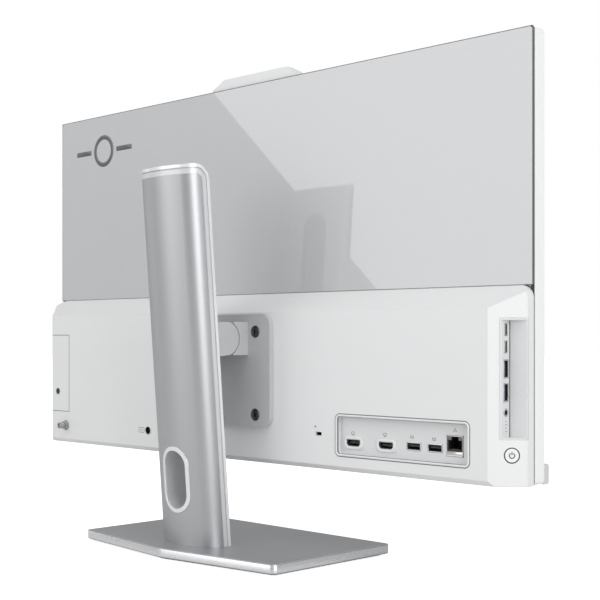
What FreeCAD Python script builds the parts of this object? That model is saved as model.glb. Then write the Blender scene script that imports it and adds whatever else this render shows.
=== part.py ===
"""All-in-one computer: a screen head with a lower rear housing, on a leaning column with height and tilt.

Frame: origin on the desk at the centre of the base plate, +Z up, screen facing -Y, rear facing +Y.
Every size is in millimetres and lives in the sheet "Sizes".
"""
import FreeCAD, Part
import os
import re
import Sketcher

Vector = FreeCAD.Vector
Rotation = FreeCAD.Rotation
ALONG_X = Vector(1, 0, 0)
ALONG_Y = Vector(0, 1, 0)
ALONG_Z = Vector(0, 0, 1)

SIZES = (
    # head, outside
    ("head_width", 612, "width of the head"),
    ("head_bottom", 81.5, "lower edge of the head above the desk"),
    ("head_top", 434, "upper edge of the head above the desk"),
    ("glass_front", -48.7, "Y of the screen face"),
    ("frame_rear", -35.2, "Y of the side frame's rear edge"),
    ("frame_wall", 2.6, "wall of the side frame"),
    ("frame_corner", 4, "corner radius of the side frame"),
    ("cover_seam", -34.5, "Y where the rear covers start"),
    ("panel_rear", -33, "Y of the upper rear panel's outer face"),
    ("panel_inset", 0.4, "upper rear panel stays this far inside the head's outline"),
    ("emblem_x", 230, "centre of the emblem"),
    ("emblem_height", 396, "height of the emblem's centre"),
    ("emblem_radius", 17, "outer radius of the emblem's ring"),
    ("emblem_hole", 12.5, "inner radius of the emblem's ring"),
    ("emblem_thick", 0.3, "how far the emblem stands out"),
    ("emblem_gap", 22, "distance from the emblem's centre to the near end of a bar"),
    ("emblem_reach", 48, "distance from the emblem's centre to the far end of a bar"),
    ("emblem_bar", 2.5, "half height of a bar of the emblem"),
    ("chin_height", 16, "height of the bar below the screen"),
    ("chin_depth", 6.5, "how far that bar stands forward of the screen face"),
    ("chin_wall", 2, "wall of that bar"),
    ("chin_round", 2.5, "radius along the front edges of that bar"),
    # head, layers behind the glass
    ("glass_thick", 1.4, "display glass"),
    ("stack_thick", 3.7, "diffuser and light guide stack"),
    ("tray_thick", 1, "display rear tray"),
    ("display_margin", 0.3, "gap between the glass and the side frame"),
    ("chassis_front", -37, "Y of the sheet steel chassis, front face"),
    ("chassis_thick", 1, "chassis sheet"),
    ("chassis_top", 400, "upper edge of the chassis"),
    ("post_radius", 5, "posts of the chassis that take the mounting screws"),
    # lower rear housing
    ("bulge_rear", -4.3, "Y of the lower rear housing's flat rear face"),
    ("bulge_ridge", 217.7, "height where the rear face turns into the sloped top"),
    ("bulge_top", 235.5, "height where the sloped top meets the upper panel"),
    ("bulge_flat", 284.5, "half width of the flat rear face, up to the end bevels"),
    ("bulge_corner", 10, "radius of the housing's upper end corners"),
    ("cover_wall", 2, "wall of the rear housing"),
    ("bottom_chamfer", 4, "bevel along the lower rear edge"),
    ("vent_count", 20, "slots in the underside of the rear housing"),
    ("vent_width", 2.4, "width of one slot"),
    ("vent_pitch", 8, "spacing of the slots"),
    # rear connector recess
    ("io_left", -267.9, "end of the recess nearest the power button"),
    ("io_right", -130.2, "other end of the recess"),
    ("io_low", 94.6, "lower edge of the recess"),
    ("io_high", 130, "upper edge of the recess"),
    ("io_corner", 4.5, "corner radius of the recess"),
    ("io_floor", -9.3, "Y of the recess floor"),
    ("io_wall", 1.8, "wall of the recess tray"),
    ("video_x_one", -146.5, "first video socket"),
    ("video_x_two", -181.8, "second video socket"),
    ("video_height", 106.1, "height of the video sockets"),
    ("usb_x_one", -210.2, "first rear USB socket"),
    ("usb_x_two", -231.5, "second rear USB socket"),
    ("usb_height", 107.2, "height of the rear USB sockets"),
    ("lan_x", -250.8, "LAN socket"),
    ("lan_height", 110.1, "height of the LAN socket's centre"),
    ("lan_size", 16.4, "width and height of the LAN socket"),
    ("socket_play", 0.15, "gap between a socket and its opening"),
    ("socket_sheet", 0.5, "wall of a rear socket's sleeve"),
    ("side_sheet", 0.4, "wall of a side socket's sleeve"),
    ("side_socket_deep", 9, "depth of a side socket's opening"),
    ("side_socket_long", 14, "length of a side socket"),
    ("surround_half", 10.8, "half width of the raised surround of a video socket"),
    ("surround_tall", 5.1, "half height of that surround"),
    ("surround_proud", 0.5, "how far that surround stands out of the recess floor"),
    ("lan_deep", 13, "depth of the LAN socket's opening"),
    # side connector notch
    ("notch_x", -292.4, "X of the notch wall that carries the side sockets"),
    ("notch_depth", -22.1, "Y of the inner corner of the notch"),
    ("notch_slope", 0.25, "how far the notch floor falls forward for each millimetre outward"),
    ("notch_low", 118.8, "lower end of the notch"),
    ("notch_high", 208.4, "upper end of the notch"),
    ("notch_wall", 1.6, "wall of the notch liner"),
    ("side_port_y", -17.3, "Y of the side sockets' centre line"),
    ("side_c_one", 201.2, "height of the upper USB-C socket"),
    ("side_c_two", 187.9, "height of the lower USB-C socket"),
    ("side_a_one", 171.2, "height of the upper USB-A socket"),
    ("side_a_two", 153.2, "height of the lower USB-A socket"),
    ("audio_height", 137.8, "height of the audio socket"),
    ("audio_bore", 1.75, "radius of the 3.5 mm audio socket"),
    ("audio_length", 12, "length of the audio socket"),
    ("audio_collar", 3, "radius of the collar round the audio socket"),
    # round fittings on the rear face
    ("dc_x", 119.9, "power inlet"),
    ("dc_height", 102, "height of the power inlet"),
    ("dc_radius", 4.6, "outer radius of the power inlet"),
    ("dc_bore", 3.3, "radius of its opening"),
    ("dc_pin", 0.9, "radius of its centre pin"),
    ("dc_deep", 9, "depth of its opening"),
    ("antenna_x", 259.3, "antenna socket"),
    ("antenna_height", 100, "height of the antenna socket"),
    ("antenna_radius", 3.175, "quarter inch threaded barrel"),
    ("antenna_step", 0.4, "how much thinner the barrel is inside the nut and the cover"),
    ("antenna_length", 9.5, "how far the barrel stands out of the cover"),
    ("antenna_hole", 2.3, "radius of the hole in its end"),
    ("antenna_deep", 6, "depth of that hole"),
    ("antenna_contact", 0.5, "radius of the contact in that hole"),
    ("antenna_flange", 5, "radius of the flange behind the cover"),
    ("antenna_tail", 8, "how far the socket reaches into the head"),
    ("nut_flat", 8, "size of the hexagon nut across its flats"),
    ("nut_thick", 2.4, "thickness of that nut"),
    ("washer_radius", 5.6, "washer under the nut"),
    ("washer_thick", 0.8, "washer under the nut"),
    ("lock_x", -110.7, "security lock slot"),
    ("lock_height", 112.1, "height of the lock slot"),
    ("lock_wide", 7, "length of the lock slot"),
    ("lock_tall", 3, "height of the lock slot's opening"),
    ("lock_plate_half", 9, "half length of the steel plate behind the lock slot"),
    ("lock_plate_tall", 6, "half height of that plate"),
    ("lock_plate_thick", 1.5, "thickness of that plate"),
    # power button on the end bevel
    ("button_x", -297.6, "power button centre"),
    ("button_height", 105.4, "height of the power button"),
    ("button_radius", 5.3, "radius of the button cap"),
    ("button_gap", 0.35, "gap round the cap"),
    ("button_rim", 1, "how far the rim behind the wall reaches past the cap"),
    ("button_stem", 1.5, "radius of the stem behind the cap"),
    # drive bay at the other end
    ("door_left", 253.8, "inner edge of the drive bay door"),
    ("door_low", 115.1, "lower edge of the door"),
    ("door_high", 197, "upper edge of the door"),
    ("door_seam", -28.5, "Y of the door's edge on the head's side"),
    ("door_gap", 0.35, "gap round the door"),
    ("drive_long", 100, "length of the drive"),
    ("drive_wide", 70, "width of the drive"),
    ("drive_thick", 9, "thickness of the drive"),
    ("drive_left", 152, "inner end of the drive"),
    ("drive_front", -22.4, "Y of the drive's front face"),
    ("tray_sheet", 1.5, "floor of the drive tray"),
    ("rail_wall", 1.6, "rails of the tray and flanges of the cage"),
    ("rail_inset", 3, "tray rails stay this far inside the bay"),
    ("rail_high", 5, "height of the tray rails above the drive's front face"),
    ("cage_gap", 2.3, "drive's front face to the cage floor"),
    ("cage_sheet", 1, "floor of the drive cage"),
    ("cage_post", 4, "radius of the cage's posts"),
    ("drive_corner", 1.5, "corner radius of the drive"),
    ("bay_screw_x", 274.1, "drive bay screw"),
    ("bay_screw_height", 136.3, "height of the drive bay screw"),
    ("bay_screw_shank", 1.5, "shank radius of the drive bay screw"),
    ("bay_screw_head", 2.7, "head radius of the drive bay screw"),
    # mounting plate and hinge
    ("mount_pitch", 75, "hole spacing of the mounting pattern"),
    ("mount_height", 162.7, "height of the pattern's centre"),
    ("plate_half", 56, "half width of the mounting plate"),
    ("plate_low", 114.1, "lower edge of the mounting plate"),
    ("plate_high", 216, "upper edge of the mounting plate"),
    ("plate_thick", 5, "thickness of the mounting plate"),
    ("plate_corner", 11, "corner radius of the mounting plate"),
    ("screw_head", 5.6, "radius of a mounting screw's head"),
    ("screw_shank", 2, "radius of a mounting screw's shank"),
    ("screw_sink", 2.8, "depth of a mounting screw's counterbore"),
    ("tilt_y", 27, "Y of the tilt axis"),
    ("tilt_height", 194, "height of the tilt axis"),
    ("barrel_radius", 15, "radius of the arm's round end"),
    ("barrel_half", 28.5, "half width of the hinge"),
    ("hinge_wrap", 8, "how far in front of the tilt axis the hinge block's wrap round the arm ends"),
    ("hinge_gap", 0.8, "gap between the arm's round end and the hinge block"),
    ("tongue_half", 15.5, "half width of the hinge block's tongue"),
    ("tongue_radius", 10, "radius of the tongue's round end"),
    ("tongue_gap", 1.5, "gap between the tongue's round end and the arm"),
    ("washer_size", 9, "radius of a friction washer"),
    ("pin_radius", 4, "tilt pin"),
    ("pin_play", 0.05, "running clearance of a pin in its bore"),
    # column
    ("base_top", 10, "upper face of the base plate"),
    ("column_half", 36, "half width of the column"),
    ("column_front", 29, "Y of the column's front face at the base plate"),
    ("column_rear", 59, "Y of the column's rear face at the base plate"),
    ("column_lean", 0.0805, "how far the column leans back for each millimetre of height"),
    ("lean_degrees", 4.6024, "the same lean as an angle"),
    ("column_top", 347, "top of the front cover"),
    ("shell_top", 338, "top of the rear shell"),
    ("top_corner", 15, "radius of the column's upper corners"),
    ("shell_corner", 17, "radius of the column's rear shoulders"),
    ("crown_rise", 14, "how far the rear face rises from its shoulders to its middle, before rounding"),
    ("crown_radius", 60, "radius of the middle of the rear face"),
    ("crown_over", 4.38, "how far the unrounded middle would stand behind the rear face"),
    ("crown_stretch", 1.073, "depth of a wall of 1 measured along Y on the slope beside the middle"),
    ("shell_wall", 3, "wall of the rear shell"),
    ("front_thick", 3, "thickness of the front cover"),
    ("web_thick", 1.5, "thickness of the inner web behind the front cover"),
    ("trim_depth", 4, "depth of the side trim"),
    ("slot_half", 15.5, "half width of the arm slot"),
    ("slot_low", 122, "lower end of the arm slot"),
    ("slot_high", 318, "upper end of the arm slot"),
    ("tunnel_half", 13.5, "half width of the cable hole"),
    ("tunnel_low", 42.5, "lower end of the cable hole"),
    ("tunnel_high", 94.5, "upper end of the cable hole"),
    ("tunnel_wall", 2, "wall of the cable tunnel"),
    ("ring_width", 1.6, "how far the trim ring reaches round the tunnel"),
    ("ring_proud", 0.8, "how far the trim ring stands out of the shell"),
    ("cap_deep", 12, "how far the top cap reaches down inside the shell"),
    ("foot_screw_x", 9, "column screws, distance from the middle"),
    ("foot_screw_front", 43, "Y of the front pair of column screws"),
    ("foot_screw_rear", 51, "Y of the rear pair of column screws"),
    ("foot_screw_radius", 2.5, "shank radius of a column screw"),
    ("foot_head_radius", 4.4, "head radius of a column screw"),
    ("foot_head_high", 3, "head height of a column screw"),
    ("foot_high", 14, "height of the foot inside the column"),
    # mechanism inside the column, measured along the column from the base plate's top
    ("rod_radius", 3, "guide rod"),
    ("rod_x", 19.5, "guide rod, distance from the middle"),
    ("rod_y", 13, "guide rod, distance behind the column's front face"),
    ("rod_top", 314, "upper end of the rods"),
    ("rod_foot", 6, "lower end of the rods"),
    ("bracket_high", 8, "height of the rods' top bracket"),
    ("bracket_deep", 17, "depth of that bracket"),
    ("bush_radius", 4.6, "outer radius of a guide bush"),
    ("bush_length", 12, "length of a guide bush"),
    ("carriage_low", 144, "lower end of the carriage"),
    ("carriage_high", 220, "upper end of the carriage"),
    ("carriage_half", 25, "half width of the carriage"),
    ("carriage_front", 6, "carriage's distance behind the column's front face"),
    ("carriage_thick", 13, "thickness of the carriage"),
    ("neck_half", 13, "half width of the neck that passes the slot"),
    ("neck_reach", 12, "half height of that neck"),
    ("coil_radius", 8.5, "rolled lift spring"),
    ("coil_wide", 8, "width of one rolled spring"),
    ("coil_height", 209, "height of the rolled springs' axle"),
    ("coil_y", 13.5, "axle's distance behind the column's front face"),
    ("axle_radius", 2, "axle of the rolled springs"),
    ("strip_thick", 0.3, "spring strip"),
    # base
    ("base_half", 127, "half width of the base plate"),
    ("base_front", -82, "Y of the base plate's front edge"),
    ("base_corner_y", 67, "Y of the base plate's rear corners"),
    ("base_peak", 83, "Y of the base plate's rearmost point"),
    ("base_corner", 6, "corner radius of the base plate"),
    ("base_peak_radius", 45, "radius of the base plate's rear point"),
    ("pad_thick", 2, "rubber pad under the base plate"),
    ("pad_inset", 6, "pad stays this far inside the base plate"),
    # electronics
    ("board_left", -289, "mainboard end nearest the side sockets"),
    ("board_right", -70, "other end of the mainboard"),
    ("board_low", 86, "lower edge of the mainboard"),
    ("board_high", 209, "upper edge of the mainboard"),
    ("board_rear", -32, "Y of the mainboard's component side"),
    ("board_thick", 1.6, "mainboard"),
    ("speaker_left", -100, "inner end of the speaker below the mainboard"),
    ("speaker_right", 180, "inner end of the other speaker"),
    ("speaker_long", 64, "length of a speaker box"),
    ("speaker_cone", 6, "radius of a speaker's mouth"),
    ("plate_lift", 2.6, "processor plate's thickness above the mainboard"),
    ("pipe_low", 161, "lower edge of the heat pipe"),
    ("pipe_high", 169, "upper edge of the heat pipe"),
    ("pipe_left", -262, "far end of the heat pipe"),
    ("pipe_thick", 3, "thickness of the heat pipe"),
    ("fan_x", 100, "blower centre"),
    ("fan_height", 165, "height of the blower's centre"),
    ("fan_half", 43, "half size of the blower housing"),
    ("fan_thick", 16, "thickness of the blower housing"),
    ("fan_front", -32, "Y of the blower housing's front face"),
    ("fan_wall", 1.5, "wall of the blower housing"),
    ("fan_corner", 12, "corner radius of the blower housing"),
    ("fan_post", 2, "post the rotor turns on"),
    ("rotor_radius", 34, "blower rotor"),
    ("rotor_floor", 1.2, "floor disc of the rotor"),
    ("rotor_level", 2.5, "rotor's floor disc behind the housing's front face"),
    ("hub_radius", 13, "hub of the rotor"),
    ("hub_high", 9.5, "height of the hub"),
    ("blade_count", 21, "blades of the rotor"),
    ("blade_thick", 0.8, "one blade"),
    ("blade_height", 10, "height of a blade with the floor disc"),
    ("fin_left", 44, "edge of the fins nearest the middle"),
    ("fin_right", 56, "edge of the fins nearest the blower"),
    ("fin_count", 14, "fins of the heatsink"),
    ("fin_pitch", 4.4, "spacing of the fins"),
    ("fin_half", 0.3, "half thickness of a fin"),
    # webcam
    ("camera_half", 60, "half width of the webcam's housing"),
    ("camera_top_half", 42, "half width of its top edge"),
    ("camera_front", -42.1, "Y of the webcam's front face"),
    ("camera_thick", 6.4, "thickness of the webcam"),
    ("camera_low", 416, "lower end of the webcam inside the head"),
    ("camera_rise", 10.5, "how far the webcam stands above the head"),
    ("camera_shoulder", 1.5, "height of its outer corners above the head"),
    ("camera_corner", 5, "radius of the webcam's upper corners"),
    ("lens_radius", 3, "webcam lens"),
    ("lens_drop", 5.2, "lens centre below the webcam's top edge"),
    ("lens_thick", 1.2, "webcam lens"),
)

doc = FreeCAD.newDocument("all_in_one_computer")
sheet = doc.addObject("Spreadsheet::Sheet", "Sizes")
pieces = []

AXIS_TURN = {
    "x": Rotation(ALONG_Y, 90),
    "y": Rotation(ALONG_X, -90),
    "z": Rotation(),
}
PLANE_ROLE = {"x": "YZ_Plane", "y": "XZ_Plane", "z": "XY_Plane"}


def fill_sheet():
    """Writes one row per size: its alias, its value and what it means."""
    for row, (alias, value, meaning) in enumerate(SIZES, start=1):
        sheet.set(f"A{row}", alias)
        sheet.set(f"B{row}", str(value))
        sheet.set(f"C{row}", meaning)
        sheet.setAlias(f"B{row}", alias)
    doc.recompute()


def bound(text):
    """Puts the sheet's name in front of every alias of an expression."""
    return re.sub(r"\b([a-z]+(?:_[a-z]+)+)\b", r"Sizes.\1", str(text))


def number(text):
    """The present value of an expression, in millimetres."""
    return float(sheet.evalExpression(bound(text)))


def bind(item, setting, text):
    item.setExpression(setting, bound(text))


def put(item, x, y, z, turn=Rotation()):
    """Places an object with its base point bound to three expressions."""
    item.Placement = FreeCAD.Placement(Vector(), turn)
    bind(item, "Placement.Base.x", x)
    bind(item, "Placement.Base.y", y)
    bind(item, "Placement.Base.z", z)
    return item


def box(name, x_range, y_range, z_range):
    """Box between pairs of expressions."""
    item = doc.addObject("Part::Box", name)
    for setting, (low, high) in zip(("Length", "Width", "Height"), (x_range, y_range, z_range)):
        bind(item, setting, f"({high}) - ({low})")
    return put(item, x_range[0], y_range[0], z_range[0])


def cylinder(name, axis, radius, span, centre):
    """Cylinder along axis x, y or z, over span (low, high), with centre in the other two directions."""
    item = doc.addObject("Part::Cylinder", name)
    bind(item, "Radius", radius)
    bind(item, "Height", f"({span[1]}) - ({span[0]})")
    first, second = centre
    spot = {"x": (span[0], first, second), "y": (first, span[0], second), "z": (first, second, span[0])}
    return put(item, *spot[axis], AXIS_TURN[axis])


def cut(name, base, tool):
    item = doc.addObject("Part::Cut", name)
    item.Base = base
    item.Tool = tool
    return item


def fuse(name, shapes):
    item = doc.addObject("Part::MultiFuse", name)
    item.Shapes = shapes
    return item


def common(name, shapes):
    item = doc.addObject("Part::MultiCommon", name)
    item.Shapes = shapes
    return item


def group(name, shapes):
    """Several separate solids kept as one sub-part."""
    item = doc.addObject("Part::Compound", name)
    item.Links = shapes
    return item


def piece(item, label):
    """Registers an object as a finished sub-part under its label."""
    item.Label = label
    pieces.append(item)
    return item


def new_sketch(body, axis, level):
    """Sketch on the body's own origin plane across axis, moved to a level along that axis."""
    planes = {feature.Role: feature for feature in body.Origin.OriginFeatures}
    sketch = body.newObject("Sketcher::SketchObject", f"{body.Name}_sketch")
    sketch.AttachmentSupport = [(planes[PLANE_ROLE[axis]], "")]
    sketch.MapMode = "FlatFace"
    sign = "-" if axis == "y" else ""
    bind(sketch, "AttachmentOffset.Base.z", f"{sign}({level})")
    return sketch


def add_loop(sketch, corners):
    """Closed outline with every corner tied to the origin by two bound distances."""
    first = sketch.GeometryCount
    points = [Vector(number(across), number(up), 0) for across, up in corners]
    for start, end in zip(points, points[1:] + points[:1]):
        sketch.addGeometry(Part.LineSegment(start, end))
    for index in range(len(points)):
        following = first + (index + 1) % len(points)
        sketch.addConstraint(Sketcher.Constraint("Coincident", first + index, 2, following, 1))
    for index, (point, corner) in enumerate(zip(points, corners)):
        for kind, value, text in (("DistanceX", point.x, corner[0]), ("DistanceY", point.y, corner[1])):
            rule = sketch.addConstraint(Sketcher.Constraint(kind, -1, 1, first + index, 1, value))
            bind(sketch, f"Constraints[{rule}]", text)


def prism(name, axis, span, *loops):
    """Body: outlines padded along an axis over span. Across x the outline is (Y, Z), across y it is
    (X, Z) and across z it is (X, Y). Loops after the first are holes."""
    body = doc.addObject("PartDesign::Body", name)
    level = span[1] if axis == "y" else span[0]
    sketch = new_sketch(body, axis, level)
    for loop in loops:
        add_loop(sketch, loop)
    pad = body.newObject("PartDesign::Pad", f"{name}_pad")
    pad.Profile = sketch
    bind(pad, "Length", f"({span[1]}) - ({span[0]})")
    return body


def lean(body):
    """Makes a body padded along Z follow the column's lean, with level sections."""
    pad = body.Tip
    pad.UseCustomVector = True
    pad.Direction = Vector(0, number("column_lean"), 1)
    bind(pad, "Direction.y", "column_lean")
    pad.AlongSketchNormal = True
    return body


def rectangle(low, high, side_low, side_high):
    """Outline of a rectangle between four expressions."""
    return [(low, side_low), (high, side_low), (high, side_high), (low, side_high)]


def round_edges(body, direction, radius, wanted=lambda middle: True):
    """Fillets the straight edges along a direction whose middle point is wanted."""
    doc.recompute()
    base = body.Tip
    names = []
    for index, edge in enumerate(base.Shape.Edges, start=1):
        if edge.Curve.TypeId != "Part::GeomLine":
            continue
        if abs(abs(edge.tangentAt(edge.FirstParameter).dot(direction)) - 1) > 1e-6:
            continue
        if wanted(edge.CenterOfMass):
            names.append(f"Edge{index}")
    fillet = body.newObject("PartDesign::Fillet", f"{body.Name}_round")
    fillet.Base = (base, names)
    bind(fillet, "Radius", radius)
    return body


def stadium(name, centre_x, half, low, high, span, shift="0"):
    """Upright slot with round ends, extruded along Y; shift widens it on every side."""
    radius = f"({half}) + ({shift})"
    middle = box(f"{name}_middle", (f"{centre_x} - ({radius})", f"{centre_x} + ({radius})"), span,
                 (f"({low}) + ({half})", f"({high}) - ({half})"))
    lower = cylinder(f"{name}_lower", "y", radius, span, (centre_x, f"({low}) + ({half})"))
    upper = cylinder(f"{name}_upper", "y", radius, span, (centre_x, f"({high}) - ({half})"))
    return fuse(name, [middle, lower, upper])


# ---------------------------------------------------------------- rear housing of the head

def bulge(name, inset, front):
    """Outer form of the lower rear housing, drawn in by inset: its side section, its plan with
    bevelled ends and its rear outline, each extruded and kept where all three meet."""
    ridge_turn = "tan(atan((bulge_rear - panel_rear) / (bulge_top - bulge_ridge)) / 2)"
    crest_turn = "tan(atan((bulge_top - bulge_ridge) / (bulge_rear - panel_rear)) / 2)"
    bevel_turn = "tan(22.5)"
    half = f"head_width / 2 - {inset}"
    section = prism(f"{name}_section", "x", (f"-({half})", half), [
        (front, f"head_bottom + {inset}"),
        (f"bulge_rear - bottom_chamfer - {inset} * {bevel_turn}", f"head_bottom + {inset}"),
        (f"bulge_rear - {inset}", f"head_bottom + bottom_chamfer + {inset} * {bevel_turn}"),
        (f"bulge_rear - {inset}", f"bulge_ridge - {inset} * {ridge_turn}"),
        (f"panel_rear - {inset} * {crest_turn}", f"bulge_top - {inset}"),
        (front, f"bulge_top - {inset}"),
    ])
    bevel_end = f"bulge_rear - (head_width / 2 - bulge_flat) - {inset} * {bevel_turn}"
    flat = f"bulge_flat - {inset} * {bevel_turn}"
    plan = prism(f"{name}_plan", "z", ("head_bottom", "bulge_top"), [
        (f"-({half})", front),
        (half, front),
        (half, bevel_end),
        (flat, f"bulge_rear - {inset}"),
        (f"-({flat})", f"bulge_rear - {inset}"),
        (f"-({half})", bevel_end),
    ])
    outline = prism(f"{name}_outline", "y", (front, "bulge_rear"),
                    rectangle(f"-({half})", half, f"head_bottom + {inset}", f"bulge_top - {inset}"))
    round_edges(outline, ALONG_Y, f"bulge_corner - {inset}", lambda middle: middle.z > number("bulge_ridge"))
    return common(name, [section, plan, outline])


def door_region(name, gap):
    """Space of the drive bay door, grown by gap."""
    return box(name, (f"door_left - {gap}", "head_width"), (f"door_seam - {gap}", "0"),
               (f"door_low - {gap}", f"door_high + {gap}"))


def notch_space(name, wall):
    """Space of the side connector notch, grown by wall on its inner sides."""
    return prism(name, "z", (f"notch_low - {wall}", f"notch_high + {wall}"), [
        (f"notch_x + {wall}", "0"),
        (f"notch_x + {wall}", f"notch_depth - {wall}"),
        ("-head_width", f"notch_depth - {wall} - notch_slope * (head_width + notch_x)"),
        ("-head_width", "0"),
    ])


def button_cylinder(name, radius, low, high):
    """Cylinder square to the end bevel at the power button, from low to high outward of the bevel."""
    item = doc.addObject("Part::Cylinder", name)
    bind(item, "Radius", radius)
    bind(item, "Height", f"({high}) - ({low})")
    outward = Rotation(ALONG_Z, Vector(-1, 1, 0))
    return put(item, f"button_x - ({low}) * sin(45)",
               f"bulge_rear + bulge_flat + button_x + ({low}) * sin(45)", "button_height", outward)


def cover_openings():
    """Everything that is taken out of the rear housing's wall."""
    through = ("bulge_rear - 10", "bulge_rear + 5")
    recess = prism("io_opening", "y", through, rectangle("io_left", "io_right", "io_low", "io_high"))
    round_edges(recess, ALONG_Y, "io_corner")
    holes = [
        recess,
        notch_space("notch_opening", "notch_wall"),
        door_region("door_opening", "door_gap"),
        button_cylinder("button_opening", "button_radius + button_gap", "-8", "5"),
        cylinder("dc_opening", "y", "dc_radius", through, ("dc_x", "dc_height")),
        cylinder("antenna_opening", "y", "antenna_radius - antenna_step", through, ("antenna_x", "antenna_height")),
        box("lock_opening", ("lock_x - lock_wide / 2", "lock_x + lock_wide / 2"), through,
            ("lock_height - lock_tall / 2", "lock_height + lock_tall / 2")),
    ]
    for index, (side, rise) in enumerate(mount_corners()):
        holes.append(cylinder(f"mount_opening_{index}", "y", "screw_shank + 0.3", through, (side, rise)))
    holes.extend(vents())
    return fuse("cover_openings", holes)


def vents():
    """Row of narrow air slots through the underside of the rear housing."""
    slots = []
    first = (number("vent_count") - 1) / 2
    for index in range(int(number("vent_count"))):
        middle = f"({index - first}) * vent_pitch"
        slots.append(box(f"vent_{index}", (f"{middle} - vent_width / 2", f"{middle} + vent_width / 2"),
                         ("bulge_rear - 24", "bulge_rear - 8"), ("head_bottom - 1", "head_bottom + 4")))
    return slots


def mount_corners():
    """The four screw places of the mounting pattern, as expressions (X, Z)."""
    return [(f"{side} * mount_pitch / 2", f"mount_height + {rise} * mount_pitch / 2")
            for side in (-1, 1) for rise in (-1, 1)]


def rear_housing():
    """Rear cover with its openings, and the drive tray whose door is cut from the same wall."""
    outer = bulge("housing_outer", "0", "cover_seam")
    inner = bulge("housing_inner", "cover_wall", "cover_seam - 20")
    shell = cut("housing_shell", outer, inner)
    piece(cut("rear_cover_cut", shell, cover_openings()), "rear_cover")
    door_skin = common("door_skin", [shell, door_region("door_space", "0")])
    piece(drive_tray(door_skin), "drive_tray")
    liner_block = common("liner_block", [notch_space("liner_space", "notch_wall"), outer])
    liner = cut("liner_shell", liner_block, notch_space("notch_clear", "0"))
    piece(cut("side_io_liner_cut", liner, fuse("side_windows", side_windows())), "side_io_liner")


def upper_panel():
    """Glossy upper rear panel and the plain emblem on it."""
    half = "head_width / 2 - panel_inset"
    panel = prism("upper_panel", "y", ("cover_seam", "panel_rear"),
                  rectangle(f"-({half})", half, "bulge_top + 0.3", "head_top - panel_inset"))
    round_edges(panel, ALONG_Y, "frame_corner - panel_inset", lambda middle: middle.z > number("chassis_top"))
    piece(panel, "upper_rear_panel")
    span = ("panel_rear", "panel_rear + emblem_thick")
    spot = ("emblem_x", "emblem_height")
    ring = cut("emblem_ring", cylinder("emblem_outer", "y", "emblem_radius", span, spot),
               cylinder("emblem_inner", "y", "emblem_hole", span, spot))
    tall = ("emblem_height - emblem_bar", "emblem_height + emblem_bar")
    bars = [box("emblem_bar_low", ("emblem_x - emblem_reach", "emblem_x - emblem_gap"), span, tall),
            box("emblem_bar_high", ("emblem_x + emblem_gap", "emblem_x + emblem_reach"), span, tall)]
    piece(group("emblem", [ring] + bars), "panel_emblem")


# ---------------------------------------------------------------- front of the head

def front_parts():
    """Side frame, chin bar and the display layers."""
    half = "head_width / 2"
    inner = f"{half} - frame_wall"
    frame = prism("frame_ring", "y", ("glass_front", "frame_rear"),
                  rectangle(f"-{half}", half, "head_bottom", "head_top"),
                  rectangle(f"-({inner})", inner, "head_bottom + frame_wall", "head_top - frame_wall"))
    outer_corner = number("head_width") / 2 - 1
    round_edges(frame, ALONG_Y, "frame_corner", lambda middle: abs(middle.x) > outer_corner)
    camera_slot = box("camera_slot", ("-camera_half - 1.5", "camera_half + 1.5"),
                      ("camera_front - 0.4", "frame_rear"), ("head_top - frame_wall", "head_top"))
    piece(cut("side_frame_cut", frame, camera_slot), "side_frame")

    chin_span = ("glass_front - chin_depth", "glass_front")
    chin = prism("chin_outer", "y", chin_span,
                 rectangle(f"-{half}", half, "head_bottom", "head_bottom + chin_height"))
    round_edges(chin, ALONG_X, "chin_round", lambda middle: middle.y < number("glass_front") - 1)
    hollow = box("chin_hollow", (f"-({half} - chin_wall)", f"{half} - chin_wall"),
                 ("glass_front - chin_depth + chin_wall", "glass_front"),
                 ("head_bottom + chin_wall", "head_bottom + chin_height - chin_wall"))
    piece(cut("chin_cut", chin, hollow), "chin_bar")

    side = f"{inner} - display_margin"
    low = "head_bottom + chin_height + 0.5"
    high = "head_top - frame_wall - display_margin"
    glass_back = "glass_front + glass_thick"
    stack_back = f"{glass_back} + stack_thick"
    piece(box("glass", (f"-({side})", side), ("glass_front", glass_back), (low, high)), "display_glass")
    piece(box("stack", (f"-({side} - 2)", f"{side} - 2"), (glass_back, stack_back),
              (f"{low} + 2", f"{high} - 2")), "backlight_stack")
    piece(box("display_tray", (f"-({side} - 1)", f"{side} - 1"), (stack_back, f"{stack_back} + tray_thick"),
              (f"{low} + 1", f"{high} - 1")), "display_tray")


def chassis():
    """Sheet steel chassis with four posts that take the mounting screws, and four cover posts."""
    half = "head_width / 2 - frame_wall - display_margin"
    sheet_back = "chassis_front + chassis_thick"
    solids = [box("chassis_sheet", (f"-({half})", half), ("chassis_front", sheet_back),
                  ("head_bottom + frame_wall + 2", "chassis_top"))]
    inner_wall = "bulge_rear - cover_wall"
    for index, (side, rise) in enumerate(mount_corners()):
        solids.append(cylinder(f"post_{index}", "y", "post_radius", (sheet_back, inner_wall), (side, rise)))
    bores = [cylinder(f"post_bore_{index}", "y", "screw_shank", ("bulge_rear - 20", "0"), (side, rise))
             for index, (side, rise) in enumerate(mount_corners())]
    piece(cut("chassis_cut", fuse("chassis_solid", solids), fuse("post_bores", bores)), "main_chassis")


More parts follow.
